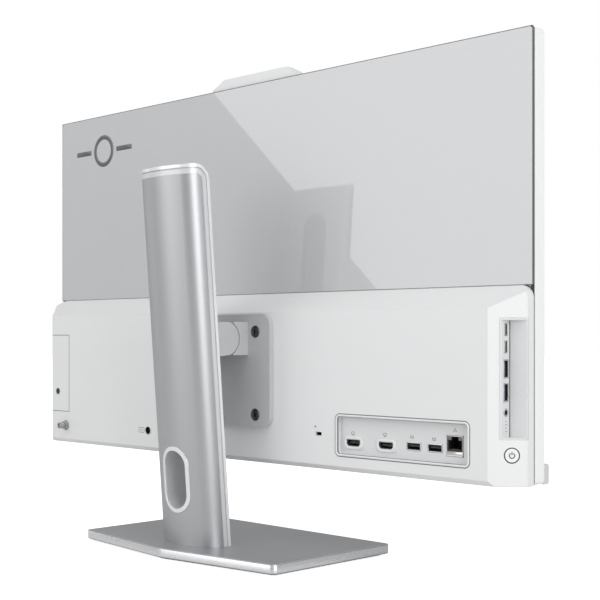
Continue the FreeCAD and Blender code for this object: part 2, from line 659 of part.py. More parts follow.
def webcam():
    """Webcam that stands above the top edge and slides down into the head."""
    back = "camera_front + camera_thick"
    shoulder = "head_top + camera_shoulder"
    top = "head_top + camera_rise"
    housing = prism("webcam_outer", "y", ("camera_front", back), [
        ("-camera_half", "camera_low"),
        ("camera_half", "camera_low"),
        ("camera_half", shoulder),
        ("camera_top_half", top),
        ("-camera_top_half", top),
        ("-camera_half", shoulder),
    ])
    round_edges(housing, ALONG_Y, "camera_corner", lambda middle: middle.z > number("head_top") + 1)
    spot = ("0", f"{top} - lens_drop")
    depth = ("camera_front", "camera_front + lens_thick")
    seat = cylinder("lens_seat", "y", "lens_radius", depth, spot)
    piece(cut("webcam_cut", housing, seat), "webcam_housing")
    piece(cylinder("lens", "y", "lens_radius", depth, spot), "webcam_lens")


# ---------------------------------------------------------------- sockets

def rear_socket(name, x, z, width, height, tongue, mouth, depth):
    """Socket facing the rear: sleeve with a pocket and a tongue, standing on the mainboard."""
    shell = box(f"{name}_shell", (f"{x} - {width} / 2", f"{x} + {width} / 2"), ("board_rear", mouth),
                (f"{z} - {height} / 2", f"{z} + {height} / 2"))
    pocket = box(f"{name}_pocket", (f"{x} - {width} / 2 + socket_sheet", f"{x} + {width} / 2 - socket_sheet"),
                 (f"{mouth} - {depth}", mouth),
                 (f"{z} - {height} / 2 + socket_sheet", f"{z} + {height} / 2 - socket_sheet"))
    wide, thick, shift = tongue
    blade = box(f"{name}_blade", (f"{x} - {wide} / 2", f"{x} + {wide} / 2"),
                (f"{mouth} - {depth}", f"{mouth} - 1"),
                (f"{z} + {shift} - {thick} / 2", f"{z} + {shift} + {thick} / 2"))
    return fuse(name, [cut(f"{name}_sleeve", shell, pocket), blade])


def side_socket(name, z, height, thickness, tongue):
    """Socket facing the head's side: sleeve with a pocket and a tongue."""
    low, high = f"side_port_y - {thickness} / 2", f"side_port_y + {thickness} / 2"
    shell = box(f"{name}_shell", ("notch_x", "notch_x + side_socket_long"), (low, high),
                (f"{z} - {height} / 2", f"{z} + {height} / 2"))
    pocket = box(f"{name}_pocket", ("notch_x", "notch_x + side_socket_deep"),
                 (f"{low} + side_sheet", f"{high} - side_sheet"),
                 (f"{z} - {height} / 2 + side_sheet", f"{z} + {height} / 2 - side_sheet"))
    wide, thick = tongue
    blade = box(f"{name}_blade", ("notch_x + 1", "notch_x + side_socket_deep"),
                (f"side_port_y - {thick} / 2", f"side_port_y + {thick} / 2"),
                (f"{z} - {wide} / 2", f"{z} + {wide} / 2"))
    return fuse(name, [cut(f"{name}_sleeve", shell, pocket), blade])


# width, height and tongue (width, thickness, shift) of the rear sockets; length, thickness and tongue
# (length, thickness) of the side sockets
USB_A = ("14.3", "6.4", ("11.4", "1.9", "0.7"))
VIDEO = ("15.8", "6.2", ("11", "1.1", "0"))
SIDE_A = ("14", "6.2", (11.4, 1.9))
SIDE_C = ("9.3", "3.6", (6.6, 0.7))


def rear_io():
    """Recess tray with a window for each socket, and the sockets behind it."""
    tray = prism("io_tray", "y", ("io_floor - io_wall", "bulge_rear + 0.2"),
                 rectangle("io_left", "io_right", "io_low", "io_high"))
    round_edges(tray, ALONG_Y, "io_corner")
    pocket = prism("io_pocket", "y", ("io_floor", "bulge_rear + 1"),
                   rectangle("io_left + io_wall", "io_right - io_wall", "io_low + io_wall",
                             "io_high - io_wall"))
    round_edges(pocket, ALONG_Y, "io_corner - io_wall")
    surrounds = [box(f"video_surround_{index}", (f"{x} - surround_half", f"{x} + surround_half"),
                     ("io_floor - 0.5", "io_floor + surround_proud"),
                     ("video_height - surround_tall", "video_height + surround_tall"))
                 for index, x in enumerate(("video_x_one", "video_x_two"))]
    body = fuse("io_tray_body", [cut("io_tray_shell", tray, pocket)] + surrounds)

    places = (("video_sockets", ("video_x_one", "video_x_two"), "video_height", VIDEO, "8"),
              ("rear_usb_sockets", ("usb_x_one", "usb_x_two"), "usb_height", USB_A, "12"))
    windows = []
    for label, spots, z, (width, height, tongue), depth in places:
        sockets = [rear_socket(f"{label}_{index}", x, z, width, height, tongue, "io_floor", depth)
                   for index, x in enumerate(spots)]
        piece(group(f"{label}_group", sockets), label)
        windows.extend(box(f"{label}_window_{index}",
                           (f"{x} - {width} / 2 - socket_play", f"{x} + {width} / 2 + socket_play"),
                           ("io_floor - 5", "io_floor + 2"),
                           (f"{z} - {height} / 2 - socket_play", f"{z} + {height} / 2 + socket_play"))
                       for index, x in enumerate(spots))
    half = "(lan_size / 2 + socket_play)"
    windows.append(box("lan_window", (f"lan_x - {half}", f"lan_x + {half}"), ("io_floor - 5", "io_floor + 2"),
                       (f"lan_height - {half}", f"lan_height + {half}")))
    piece(cut("io_tray_cut", body, fuse("io_windows", windows)), "rear_io_tray")
    piece(lan_socket(), "lan_socket")


def lan_socket():
    """LAN socket: a block with a plug cavity and a narrower latch channel above it."""
    half = "lan_size / 2"
    block = box("lan_block", (f"lan_x - {half}", f"lan_x + {half}"), ("board_rear", "io_floor"),
                (f"lan_height - {half}", f"lan_height + {half}"))
    mouth = ("io_floor - lan_deep", "io_floor")
    cavity = box("lan_cavity", ("lan_x - 6", "lan_x + 6"), mouth, ("lan_height - 2.6", "lan_height + 4.4"))
    latch = box("lan_latch", ("lan_x - 3.1", "lan_x + 3.1"), mouth, ("lan_height + 4", "lan_height + 7.2"))
    return cut("lan_body", block, fuse("lan_space", [cavity, latch]))


def side_windows():
    """Openings of the side sockets in the notch liner."""
    through = ("notch_x - 2", "notch_x + 4")
    windows = []
    for index, (z, (height, thickness, _)) in enumerate((("side_c_one", SIDE_C), ("side_c_two", SIDE_C),
                                                         ("side_a_one", SIDE_A), ("side_a_two", SIDE_A))):
        deep, tall = f"({thickness} / 2 + socket_play)", f"({height} / 2 + socket_play)"
        windows.append(box(f"side_window_{index}", through,
                           (f"side_port_y - {deep}", f"side_port_y + {deep}"),
                           (f"{z} - {tall}", f"{z} + {tall}")))
    windows.append(cylinder("audio_window", "x", "audio_collar + socket_play", through,
                            ("side_port_y", "audio_height")))
    return windows


def side_io():
    """Two USB-C sockets, two USB-A sockets and the audio socket of the side notch."""
    for name, places, (height, thickness, tongue) in (
            ("side_usb_c_sockets", ("side_c_one", "side_c_two"), SIDE_C),
            ("side_usb_a_sockets", ("side_a_one", "side_a_two"), SIDE_A)):
        sockets = [side_socket(f"{name}_{index}", z, height, thickness, tongue)
                   for index, z in enumerate(places)]
        piece(group(f"{name}_group", sockets), name)
    spot = ("side_port_y", "audio_height")
    collar = cylinder("audio_ring", "x", "audio_collar", ("notch_x", "notch_x + 3"), spot)
    block = box("audio_block", ("notch_x + 2.4", "notch_x + audio_length"),
                ("side_port_y - 3.6", "side_port_y + 3.6"), ("audio_height - 4", "audio_height + 4"))
    bore = cylinder("audio_bore_tool", "x", "audio_bore", ("notch_x", "notch_x + audio_length"), spot)
    piece(cut("audio_cut", fuse("audio_solid", [collar, block]), bore), "audio_socket")


def rear_fittings():
    """Power inlet, antenna socket with its nut, and the lock slot's plate."""
    spot = ("dc_x", "dc_height")
    body = cylinder("dc_body", "y", "dc_radius", ("bulge_rear - 14", "bulge_rear + 0.4"), spot)
    bore = cylinder("dc_bore_tool", "y", "dc_bore", ("bulge_rear - dc_deep", "bulge_rear + 1"), spot)
    pin = cylinder("dc_contact", "y", "dc_pin", ("bulge_rear - dc_deep - 0.5", "bulge_rear - 1"), spot)
    piece(fuse("dc_socket_solid", [cut("dc_sleeve", body, bore), pin]), "dc_inlet")

    spot = ("antenna_x", "antenna_height")
    tip = "bulge_rear + antenna_length"
    tail = "bulge_rear - antenna_tail"
    nut_end = "bulge_rear + washer_thick + nut_thick"
    barrel = cylinder("antenna_barrel", "y", "antenna_radius - antenna_step", (tail, tip), spot)
    thread = cylinder("antenna_thread", "y", "antenna_radius", (nut_end, tip), spot)
    flange = cylinder("antenna_disc", "y", "antenna_flange", (tail, "bulge_rear - cover_wall"), spot)
    hole = cylinder("antenna_mouth", "y", "antenna_hole", (f"{tip} - antenna_deep", tip), spot)
    contact = cylinder("antenna_pin", "y", "antenna_contact", (f"{tip} - antenna_deep - 0.5", f"{tip} - 1"),
                       spot)
    sleeve = cut("antenna_sleeve", fuse("antenna_solid", [barrel, thread, flange]), hole)
    piece(fuse("antenna_fused", [sleeve, contact]), "antenna_socket")

    nut = doc.addObject("Part::Prism", "nut_hexagon")
    nut.Polygon = 6
    bind(nut, "Circumradius", "nut_flat / 2 / cos(30)")
    bind(nut, "Height", "nut_thick")
    put(nut, "antenna_x", "bulge_rear + washer_thick", "antenna_height", AXIS_TURN["y"])
    washer = cylinder("nut_washer", "y", "washer_radius", ("bulge_rear", "bulge_rear + washer_thick"), spot)
    nut_bore = cylinder("nut_bore", "y", "antenna_radius - antenna_step", ("bulge_rear - 1", "bulge_rear + 5"),
                        spot)
    piece(cut("nut_cut", fuse("nut_solid", [nut, washer]), nut_bore), "antenna_nut")

    inner = "bulge_rear - cover_wall"
    plate = box("lock_plate", ("lock_x - lock_plate_half", "lock_x + lock_plate_half"),
                (f"{inner} - lock_plate_thick", inner),
                ("lock_height - lock_plate_tall", "lock_height + lock_plate_tall"))
    slot = box("lock_slot", ("lock_x - lock_wide / 2", "lock_x + lock_wide / 2"), (f"{inner} - 2", "0"),
               ("lock_height - lock_tall / 2", "lock_height + lock_tall / 2"))
    piece(cut("lock_cut", plate, slot), "lock_slot_plate")


def power_button():
    """Round cap on the end bevel, with a rim behind the wall that keeps it in."""
    cap = button_cylinder("button_cap", "button_radius", "-cover_wall - 0.5", "0.4")
    rim = button_cylinder("button_ring", "button_radius + button_rim", "-cover_wall - 1", "-cover_wall - 0.1")
    stem = button_cylinder("button_pin", "button_stem", "-cover_wall - 3", "-cover_wall - 0.9")
    piece(fuse("button_solid", [cap, rim, stem]), "power_button")


def cross_slot(name, centre, reach, half, span):
    """Cross recess of a screw head: two crossed bars over span, along Y."""
    x, z = centre
    flat = box(f"{name}_flat", (f"{x} - {reach}", f"{x} + {reach}"), span, (f"{z} - {half}", f"{z} + {half}"))
    tall = box(f"{name}_tall", (f"{x} - {half}", f"{x} + {half}"), span, (f"{z} - {reach}", f"{z} + {reach}"))
    return fuse(name, [flat, tall])


# ---------------------------------------------------------------- drive bay

def drive_tray(door_skin):
    """Tray that carries the drive, in one piece with the door that closes the bay."""
    end = "bulge_flat + 17"
    level = "drive_front - tray_sheet"
    floor = box("tray_floor", ("drive_left - 2", end), (level, "drive_front"),
                ("door_low + rail_inset", "door_high - rail_inset"))
    rails = [box(f"tray_rail_{side}", ("drive_left - 2", "door_left + 8"), (level, "drive_front + rail_high"),
                 low_high)
             for side, low_high in enumerate((("door_low + rail_inset", "door_low + rail_inset + rail_wall"),
                                              ("door_high - rail_inset - rail_wall",
                                               "door_high - rail_inset")))]
    stop = box("tray_stop", ("door_left + 0.5", "door_left + 2.5"), (level, "bulge_rear - 0.5"),
               ("door_low + 30", "door_high - rail_inset - 0.5"))
    spot = ("bay_screw_x", "bay_screw_height")
    hole = cylinder("bay_screw_hole", "y", "bay_screw_shank + 0.1", ("bulge_rear - 12", "0"), spot)
    seat = cylinder("bay_screw_seat", "y", "bay_screw_head + 0.1", ("bulge_rear - 1", "0"), spot)
    solid = fuse("tray_solid", [door_skin, floor, stop] + rails)
    return cut("tray_cut", solid, fuse("bay_screw_space", [hole, seat]))


def drive_bay():
    """Fixed cage that guides the tray, the drive itself and the screw that locks the tray."""
    front = "drive_front - cage_gap - cage_sheet"
    base = box("cage_base", ("drive_left - 6", "door_left + 30"), (front, "drive_front - cage_gap"),
               ("door_low", "door_high"))
    flanges = [box(f"cage_flange_{side}", ("drive_left - 6", "door_left - 2"), (front, "drive_front + 6"),
                   low_high)
               for side, low_high in enumerate((("door_low", "door_low + rail_wall"),
                                                ("door_high - rail_wall", "door_high")))]
    end_wall = box("cage_end", ("drive_left - 6", "drive_left - 4"), (front, "drive_front + 6"),
                   ("door_low", "door_high"))
    corners = [(x, z) for x in ("drive_left + 10", "door_left - 10")
               for z in ("door_low + 12", "door_high - 12")]
    posts = [cylinder(f"cage_post_{index}", "y", "cage_post",
                      ("chassis_front + chassis_thick", "drive_front - cage_gap - 0.5"), spot)
             for index, spot in enumerate(corners)]
    ear_rear = "bulge_rear - cover_wall - 3"
    wide = ("bay_screw_x - 10", "bay_screw_x + 6")
    lug = box("cage_lug", wide, (front, ear_rear), ("door_low + 0.2", "door_low + rail_wall"))
    ear = box("cage_ear", wide, (f"{ear_rear} - 1.2", ear_rear), ("door_low + 0.2", "bay_screw_height + 5"))
    fork = box("cage_fork", ("bay_screw_x - 2", "bay_screw_x + 7"), (f"{ear_rear} - 2", f"{ear_rear} + 1"),
               ("bay_screw_height - bay_screw_shank - 0.4", "bay_screw_height + bay_screw_shank + 0.4"))
    solid = fuse("cage_solid", [base, end_wall, lug, ear] + flanges + posts)
    piece(cut("cage_cut", solid, fork), "drive_cage")

    margin = "(door_high - door_low - drive_wide) / 2"
    drive = prism("drive_block", "y", ("drive_front", "drive_front + drive_thick"),
                  rectangle("drive_left", "drive_left + drive_long", f"door_low + {margin}",
                            f"door_high - {margin}"))
    round_edges(drive, ALONG_Y, "drive_corner")
    piece(drive, "drive")

    spot = ("bay_screw_x", "bay_screw_height")
    head = cylinder("bay_head", "y", "bay_screw_head", ("bulge_rear - 1", "bulge_rear + 0.3"), spot)
    shank = cylinder("bay_shank", "y", "bay_screw_shank", ("bulge_rear - 11", "bulge_rear - 0.8"), spot)
    slots = cross_slot("bay_cross", spot, 1.6, 0.35, ("bulge_rear - 0.6", "0"))
    piece(cut("bay_screw_cut", fuse("bay_screw_solid", [head, shank]), slots), "drive_bay_screw")


# ---------------------------------------------------------------- electronics and cooling

# left edge, lower edge, width and height of the parts on the mainboard
CHIPS = ((-118, 150, 22, 22), (-96, 186, 14, 14), (-282, 126, 9, 16), (-120, 96, 14, 14))
MEMORY = ((-212, 122, 67.6, 30), (-140, 122, 67.6, 30))
STORAGE = (-206, 180, 80, 20)
WIRELESS = (-106, 180, 30, 22)
COLD_PLATE = (-268, 140, 50, 50)


def board_item(name, place, lift, thick):
    """Flat module standing lift off the mainboard's component side."""
    x, z, wide, tall = place
    return box(name, (f"{x}", f"{x} + {wide}"), (f"board_rear + {lift}", f"board_rear + {lift} + {thick}"),
               (f"{z}", f"{z} + {tall}"))


def electronics():
    """Mainboard with memory, storage and wireless cards, and two speakers."""
    board = box("mainboard_sheet", ("board_left", "board_right"), ("board_rear - board_thick", "board_rear"),
                ("board_low", "board_high"))
    chips = [board_item(f"chip_{index}", place, "-0.2", "1.6") for index, place in enumerate(CHIPS)]
    piece(fuse("mainboard_solid", [board] + chips), "mainboard")
    cards = []
    for index, place in enumerate(MEMORY):
        x, z, wide, _ = place
        module = board_item(f"memory_{index}", place, "4", "1.2")
        clip = board_item(f"memory_clip_{index}", (x - 1, z - 3, wide + 2, 4), "0", "5.2")
        cards.append(fuse(f"memory_card_{index}", [module, clip]))
    piece(group("memory", cards), "memory_modules")
    piece(board_item("storage", STORAGE, "3", "1.8"), "ssd_card")
    piece(board_item("wireless", WIRELESS, "3", "1.6"), "wireless_card")
    boxes = []
    for index, x in enumerate(("speaker_left", "speaker_right")):
        body = box(f"speaker_box_{index}", (x, f"{x} + speaker_long"), ("bulge_rear - 22", "bulge_rear - 8"),
                   ("head_bottom + 4", "head_bottom + 22"))
        cone = cylinder(f"speaker_cone_{index}", "z", "speaker_cone", ("head_bottom + 3", "head_bottom + 6"),
                        (f"{x} + 16", "bulge_rear - 15"))
        boxes.append(cut(f"speaker_{index}", body, cone))
    piece(group("speaker_pair", boxes), "speakers")


def cooling():
    """Processor plate with its heat pipe, the fin stack, and the blower with its rotor."""
    pipe_front = "board_rear + plate_lift"
    pipe_rear = f"{pipe_front} + pipe_thick"
    plate = board_item("cold_plate", COLD_PLATE, "0", "plate_lift")
    pipe = prism("pipe_bar", "y", (pipe_front, pipe_rear),
                 rectangle("pipe_left", "fin_right", "pipe_low", "pipe_high"))
    round_edges(pipe, ALONG_Y, "(pipe_high - pipe_low) / 2 - 0.5")
    piece(plate, "processor_plate")
    piece(pipe, "heat_pipe")
    first = "fan_height - (fin_count - 1) / 2 * fin_pitch"
    fins = [box(f"fin_{index}", ("fin_left", "fin_right"), (pipe_rear, "bulge_rear - 6"),
                (f"{first} + {index} * fin_pitch - fin_half", f"{first} + {index} * fin_pitch + fin_half"))
            for index in range(int(number("fin_count")))]
    base = box("fin_base", ("fin_left", "fin_right"), (pipe_rear, f"{pipe_rear} + 0.8"),
               (f"{first} - fin_half", f"{first} + (fin_count - 1) * fin_pitch + fin_half"))
    piece(fuse("fin_solid", [base] + fins), "heatsink_fins")

    rear = "fan_front + fan_thick"
    block = prism("fan_block", "y", ("fan_front", rear),
                  rectangle("fan_x - fan_half", "fan_x + fan_half", "fan_height - fan_half",
                            "fan_height + fan_half"))
    round_edges(block, ALONG_Y, "fan_corner", lambda middle: middle.x > number("fan_x"))
    spot = ("fan_x", "fan_height")
    chamber = cylinder("fan_chamber", "y", "rotor_radius + 2.5",
                       ("fan_front + fan_wall", f"{rear} - fan_wall"), spot)
    inlet = cylinder("fan_inlet", "y", "rotor_radius - 8", (f"{rear} - 2", f"{rear} + 1"), spot)
    outlet = box("fan_outlet", ("fan_x - fan_half - 1", "fan_x"),
                 ("fan_front + fan_wall", f"{rear} - fan_wall"),
                 ("fan_height - rotor_radius + 4", "fan_height + rotor_radius - 4"))
    hollow = cut("fan_hollow", block, fuse("fan_space", [chamber, inlet, outlet]))
    post = cylinder("fan_axle", "y", "fan_post", ("fan_front + 1", "fan_front + 10"), spot)
    piece(fuse("fan_housing_solid", [hollow, post]), "fan_housing")
    piece(rotor(), "fan_rotor")


def rotor():
    """Blower rotor: floor disc and a polar pattern of blades drawn about the rotor's own axis, with a
    hub and a blind bearing bore."""
    body = doc.addObject("PartDesign::Body", "rotor_body")
    disc = new_sketch(body, "y", "0")
    circle = disc.addGeometry(Part.Circle(Vector(), ALONG_Z, number("rotor_radius")))
    disc.addConstraint(Sketcher.Constraint("Coincident", circle, 3, -1, 1))
    rule = disc.addConstraint(Sketcher.Constraint("Radius", circle, number("rotor_radius")))
    bind(disc, f"Constraints[{rule}]", "rotor_radius")
    floor = body.newObject("PartDesign::Pad", "rotor_floor")
    floor.Profile = disc
    floor.Reversed = True
    bind(floor, "Length", "rotor_floor")
    blade = new_sketch(body, "y", "0")
    add_loop(blade,
             rectangle("-blade_thick / 2", "blade_thick / 2", "rotor_radius * 0.65", "rotor_radius - 1"))
    vane = body.newObject("PartDesign::Pad", "rotor_blade")
    vane.Profile = blade
    vane.Reversed = True
    bind(vane, "Length", "blade_height")
    doc.recompute()
    ring = body.newObject("PartDesign::PolarPattern", "rotor_blades")
    ring.Originals = [vane]
    ring.Axis = (disc, ["N_Axis"])
    ring.Angle = 360
    bind(ring, "Occurrences", "blade_count")
    body.Tip = ring
    put(body, "fan_x", "fan_front + rotor_level", "fan_height")
    spot = ("fan_x", "fan_height")
    hub = cylinder("rotor_hub", "y", "hub_radius",
                   ("fan_front + rotor_level", "fan_front + rotor_level + hub_high"), spot)
    bore = cylinder("rotor_bore", "y", "fan_post + pin_play", ("fan_front + 2", "fan_front + 10.5"), spot)
    return cut("rotor_cut", fuse("rotor_solid", [body, hub]), bore)


# ---------------------------------------------------------------- mounting plate and hinge

def mounting_plate():
    """Plate on the head's rear with four countersunk screws, and the hinge block on it."""
    rear = "bulge_rear + plate_thick"
    plate = prism("plate_body", "y", ("bulge_rear", rear),
                  rectangle("-plate_half", "plate_half", "plate_low", "plate_high"))
    round_edges(plate, ALONG_Y, "plate_corner")
    holes = []
    screws = []
    for index, (side, rise) in enumerate(mount_corners()):
        spot = (side, rise)
        sink = (f"{rear} - screw_sink", rear)
        holes.append(cylinder(f"plate_hole_{index}", "y", "screw_shank", ("bulge_rear - 1", rear), spot))
        holes.append(cylinder(f"plate_sink_{index}", "y", "screw_head", sink, spot))
        head = cylinder(f"mount_head_{index}", "y", "screw_head", sink, spot)
        shank = cylinder(f"mount_shank_{index}", "y", "screw_shank", ("bulge_rear - 14", sink[0]), spot)
        cross = cross_slot(f"mount_cross_{index}", spot, 2.8, 0.55, (f"{rear} - 1.6", f"{rear} + 1"))
        screws.append(cut(f"mount_screw_{index}", fuse(f"mount_solid_{index}", [head, shank]), cross))
    piece(cut("plate_cut", plate, fuse("plate_holes", holes)), "mounting_plate")
    piece(group("mount_screw_group", screws), "mounting_screws")

    axis = ("tilt_y", "tilt_height")
    half = "barrel_half"
    block = box("hinge_body", (f"-{half}", half), (rear, "tilt_y - hinge_wrap"),
                ("tilt_height - barrel_radius", "tilt_height + barrel_radius"))
    hollow = cylinder("hinge_hollow", "x", "barrel_radius + hinge_gap", (f"-{half} - 1", f"{half} + 1"), axis)
    tongue = box("hinge_tongue", ("-tongue_half", "tongue_half"), (f"{rear} + 2", "tilt_y"),
                 ("tilt_height - tongue_radius", "tilt_height + tongue_radius"))
    nose = cylinder("hinge_nose", "x", "tongue_radius", ("-tongue_half", "tongue_half"), axis)
    bore = cylinder("hinge_bore", "x", "pin_radius + pin_play", ("-tongue_half - 1", "tongue_half + 1"), axis)
    solid = fuse("hinge_solid", [cut("hinge_cheeks", block, hollow), tongue, nose])
    piece(cut("hinge_cut", solid, bore), "hinge_block")


def leaning(item):
    """Sets an object drawn upright from the column's front foot edge onto the column's lean."""
    put(item, "0", "column_front", "base_top", Rotation(ALONG_X, -number("lean_degrees")))
    return item


def lift_arm():
    """Arm: round end with two cheeks round the tongue, and a neck through the column's slot."""
    axis = ("tilt_y", "tilt_height")
    half = "barrel_half"
    top = "tilt_height + barrel_radius"
    low = "tilt_height - barrel_radius"
    root_top = f"column_front + column_lean * ({top} - base_top) - 1.6"
    root_low = f"column_front + column_lean * ({low} - base_top) - 1.6"
    barrel = cylinder("arm_barrel", "x", "barrel_radius", (f"-{half}", half), axis)
    root = prism("arm_root", "x", (f"-{half}", half), [
        ("tilt_y", low), (root_low, f"{low} - 1.3"), (root_top, f"{top} - 1.3"), ("tilt_y", top)])
    gap_half = "tongue_half + hinge_gap"
    gap = box("arm_gap", (f"-({gap_half})", gap_half), ("tilt_y - 20", "tilt_y"),
              (f"{low} - 2", f"{top} + 2"))
    gap_round = cylinder("arm_gap_round", "x", "tongue_radius + tongue_gap", (f"-({gap_half})", gap_half),
                         axis)
    bore = cylinder("arm_bore", "x", "pin_radius", (f"-{half}", half), axis)
    head = cut("arm_head", fuse("arm_solid", [barrel, root]), fuse("arm_space", [gap, gap_round, bore]))
    middle = "(tilt_height - base_top) / cos(lean_degrees)"
    neck = box("arm_neck_box", ("-neck_half", "neck_half"), ("-2.4", "carriage_front"),
               (f"{middle} - neck_reach", f"{middle} + neck_reach"))
    neck_leaning = leaning(group("arm_neck", [neck]))
    piece(fuse("lift_arm_solid", [head, neck_leaning]), "lift_arm")

    pin_head = cylinder("pin_body", "x", "pin_radius", (f"-{half}", half), axis)
    piece(pin_head, "tilt_pin")
    washers = []
    for side in (-1, 1):
        low_x = "tongue_half + 0.1" if side > 0 else "-tongue_half - hinge_gap + 0.1"
        high_x = "tongue_half + hinge_gap - 0.1" if side > 0 else "-tongue_half - 0.1"
        disc = cylinder(f"washer_disc_{side}", "x", "washer_size", (low_x, high_x), axis)
        hole = cylinder(f"washer_hole_{side}", "x", "pin_radius + pin_play", (low_x, high_x), axis)
        washers.append(cut(f"washer_{side}", disc, hole))
    piece(group("washer_pair", washers), "friction_washers")


# ---------------------------------------------------------------- column

def column_section(name, front, rear, inset, span):
    """Leaning column section with a crowned rear face and round shoulders, drawn in by inset at the
    sides and rear."""
    side = f"(column_half - ({inset}))"
    shoulder = f"{rear} + crown_over - crown_rise - (crown_stretch - crown_rise / column_half) * ({inset})"
    ridge = f"{rear} + crown_over - crown_stretch * ({inset})"
    body = prism(name, "z", span, [(f"-{side}", front), (side, front), (side, shoulder), ("0", ridge),
                                   (f"-{side}", shoulder)])
    lean(body)
    middle = number("column_front") + 10
    slope = Vector(0, number("column_lean"), 1).normalize()
    height = (number(span[0]) + number(span[1])) / 2

    def is_rear(point):
        return point.y - number("column_lean") * (height - number(span[0])) > middle
    round_edges(body, slope, f"shell_corner - ({inset})", lambda point: is_rear(point) and abs(point.x) > 1)
    return round_edges(body, slope, f"crown_radius - ({inset})",
                       lambda point: is_rear(point) and abs(point.x) < 1)


def top_envelope(name, inset):
    """Block on the column's lean with its top square to the column and its upper front corner rounded,
    drawn in by inset at the front and the top."""
    top = "(column_top - base_top) / cos(lean_degrees)"
    block = prism(name, "x", ("-column_half - 1", "column_half + 1"),
                  rectangle(inset, "90", "-20", f"{top} - ({inset})"))
    round_edges(block, ALONG_X, f"top_corner - ({inset})",
                lambda middle: middle.y < 40 and middle.z > number("column_top") / 2)
    return leaning(block)


def cable_space(name, shift):
    """Cable hole through the column, widened by shift."""
    return stadium(name, "0", "tunnel_half", "tunnel_low", "tunnel_high", ("0", "column_rear + 60"), shift)


def column():
    """Rear shell, cap, side trim with the inner web, front cover, cable tunnel and its trim ring."""
    span = ("base_top", "column_top + 5")
    web_front = "column_front + front_thick"
    trim_front = f"{web_front} + web_thick"
    shell_front = f"{trim_front} + trim_depth"
    liner = "tunnel_wall"

    shell_inset = f"{shell_front} - column_front"
    outer = column_section("shell_outer", "column_front", "column_rear", "0", span)
    inner = column_section("shell_inner", "column_front - 5", "column_rear", "shell_wall", span)
    shell = common("shell_topped", [cut("shell_walls", outer, inner),
                                    top_envelope("shell_envelope", shell_inset)])
    piece(cut("shell_cut", shell, cable_space("shell_hole", liner)), "column_rear_shell")

    cap_block = cut("cap_block", top_envelope("cap_envelope", shell_inset),
                    box("cap_space", ("-100", "100"), ("0", "200"), ("-50", "shell_top - cap_deep")))
    piece(common("cap_cut", [column_section("cap_section", "column_front", "column_rear", "shell_wall", span),
                             cap_block]), "column_top_cap")

    web = common("trim_web", [column_section("web_section", "column_front", "column_rear", "web_thick", span),
                              cut("web_layer", top_envelope("web_outer", "front_thick"),
                                  top_envelope("web_inner", f"{trim_front} - column_front"))])
    walls = cut("trim_walls", column_section("trim_outer", "column_front", "column_rear", "0", span),
                column_section("trim_inner", "column_front - 5", "column_rear", "shell_wall", span))
    band = common("trim_band", [walls, cut("trim_layer",
                                           top_envelope("band_outer", f"{trim_front} - column_front - 0.2"),
                                           top_envelope("band_inner", shell_inset))])
    arm_slot = ("0", "column_rear + 60")
    wide_slot = stadium("trim_slot", "0", "slot_half", "slot_low", "slot_high", arm_slot, "1.5")
    piece(cut("trim_cut", fuse("trim_solid", [web, band]),
              fuse("trim_holes", [wide_slot, cable_space("trim_hole", liner)])), "column_side_trim")

    cover = common("front_topped", [column_section("front_section", "column_front", "column_rear", "0", span),
                                    cut("front_layer", top_envelope("front_outer", "0"),
                                        top_envelope("front_inner", "front_thick"))])
    slot = stadium("front_slot", "0", "slot_half", "slot_low", "slot_high", arm_slot)
    piece(cut("front_cut", cover, fuse("front_holes", [slot, cable_space("front_hole", liner)])),
          "column_front_cover")

    tube = cut("tunnel_tube", cable_space("tunnel_outer", liner), cable_space("tunnel_inner", "0"))
    solid = column_section("tunnel_limit", "column_front", "column_rear", "0", span)
    piece(common("tunnel_fit", [tube, solid]), "cable_tunnel")
    rim = cut("rim_tube", cable_space("rim_outer", f"{liner} + ring_width"), cable_space("rim_inner", "0"))
    skin = cut("rim_skin", column_section("rim_limit", shell_front, "column_rear", "-ring_proud", span),
               column_section("rim_core", f"{shell_front} - 5", "column_rear", "0", span))
    rear_half = box("rim_side", ("-100", "100"), ("column_rear - 8", "200"), ("0", "200"))
    piece(common("rim_fit", [rim, skin, rear_half]), "cable_hole_ring")


def foot_screw_places():
    """The four screws that hold the column on the base plate, as expressions (X, Y)."""
    return [(f"{side} * foot_screw_x", y) for side in (-1, 1) for y in ("foot_screw_front",
                                                                        "foot_screw_rear")]


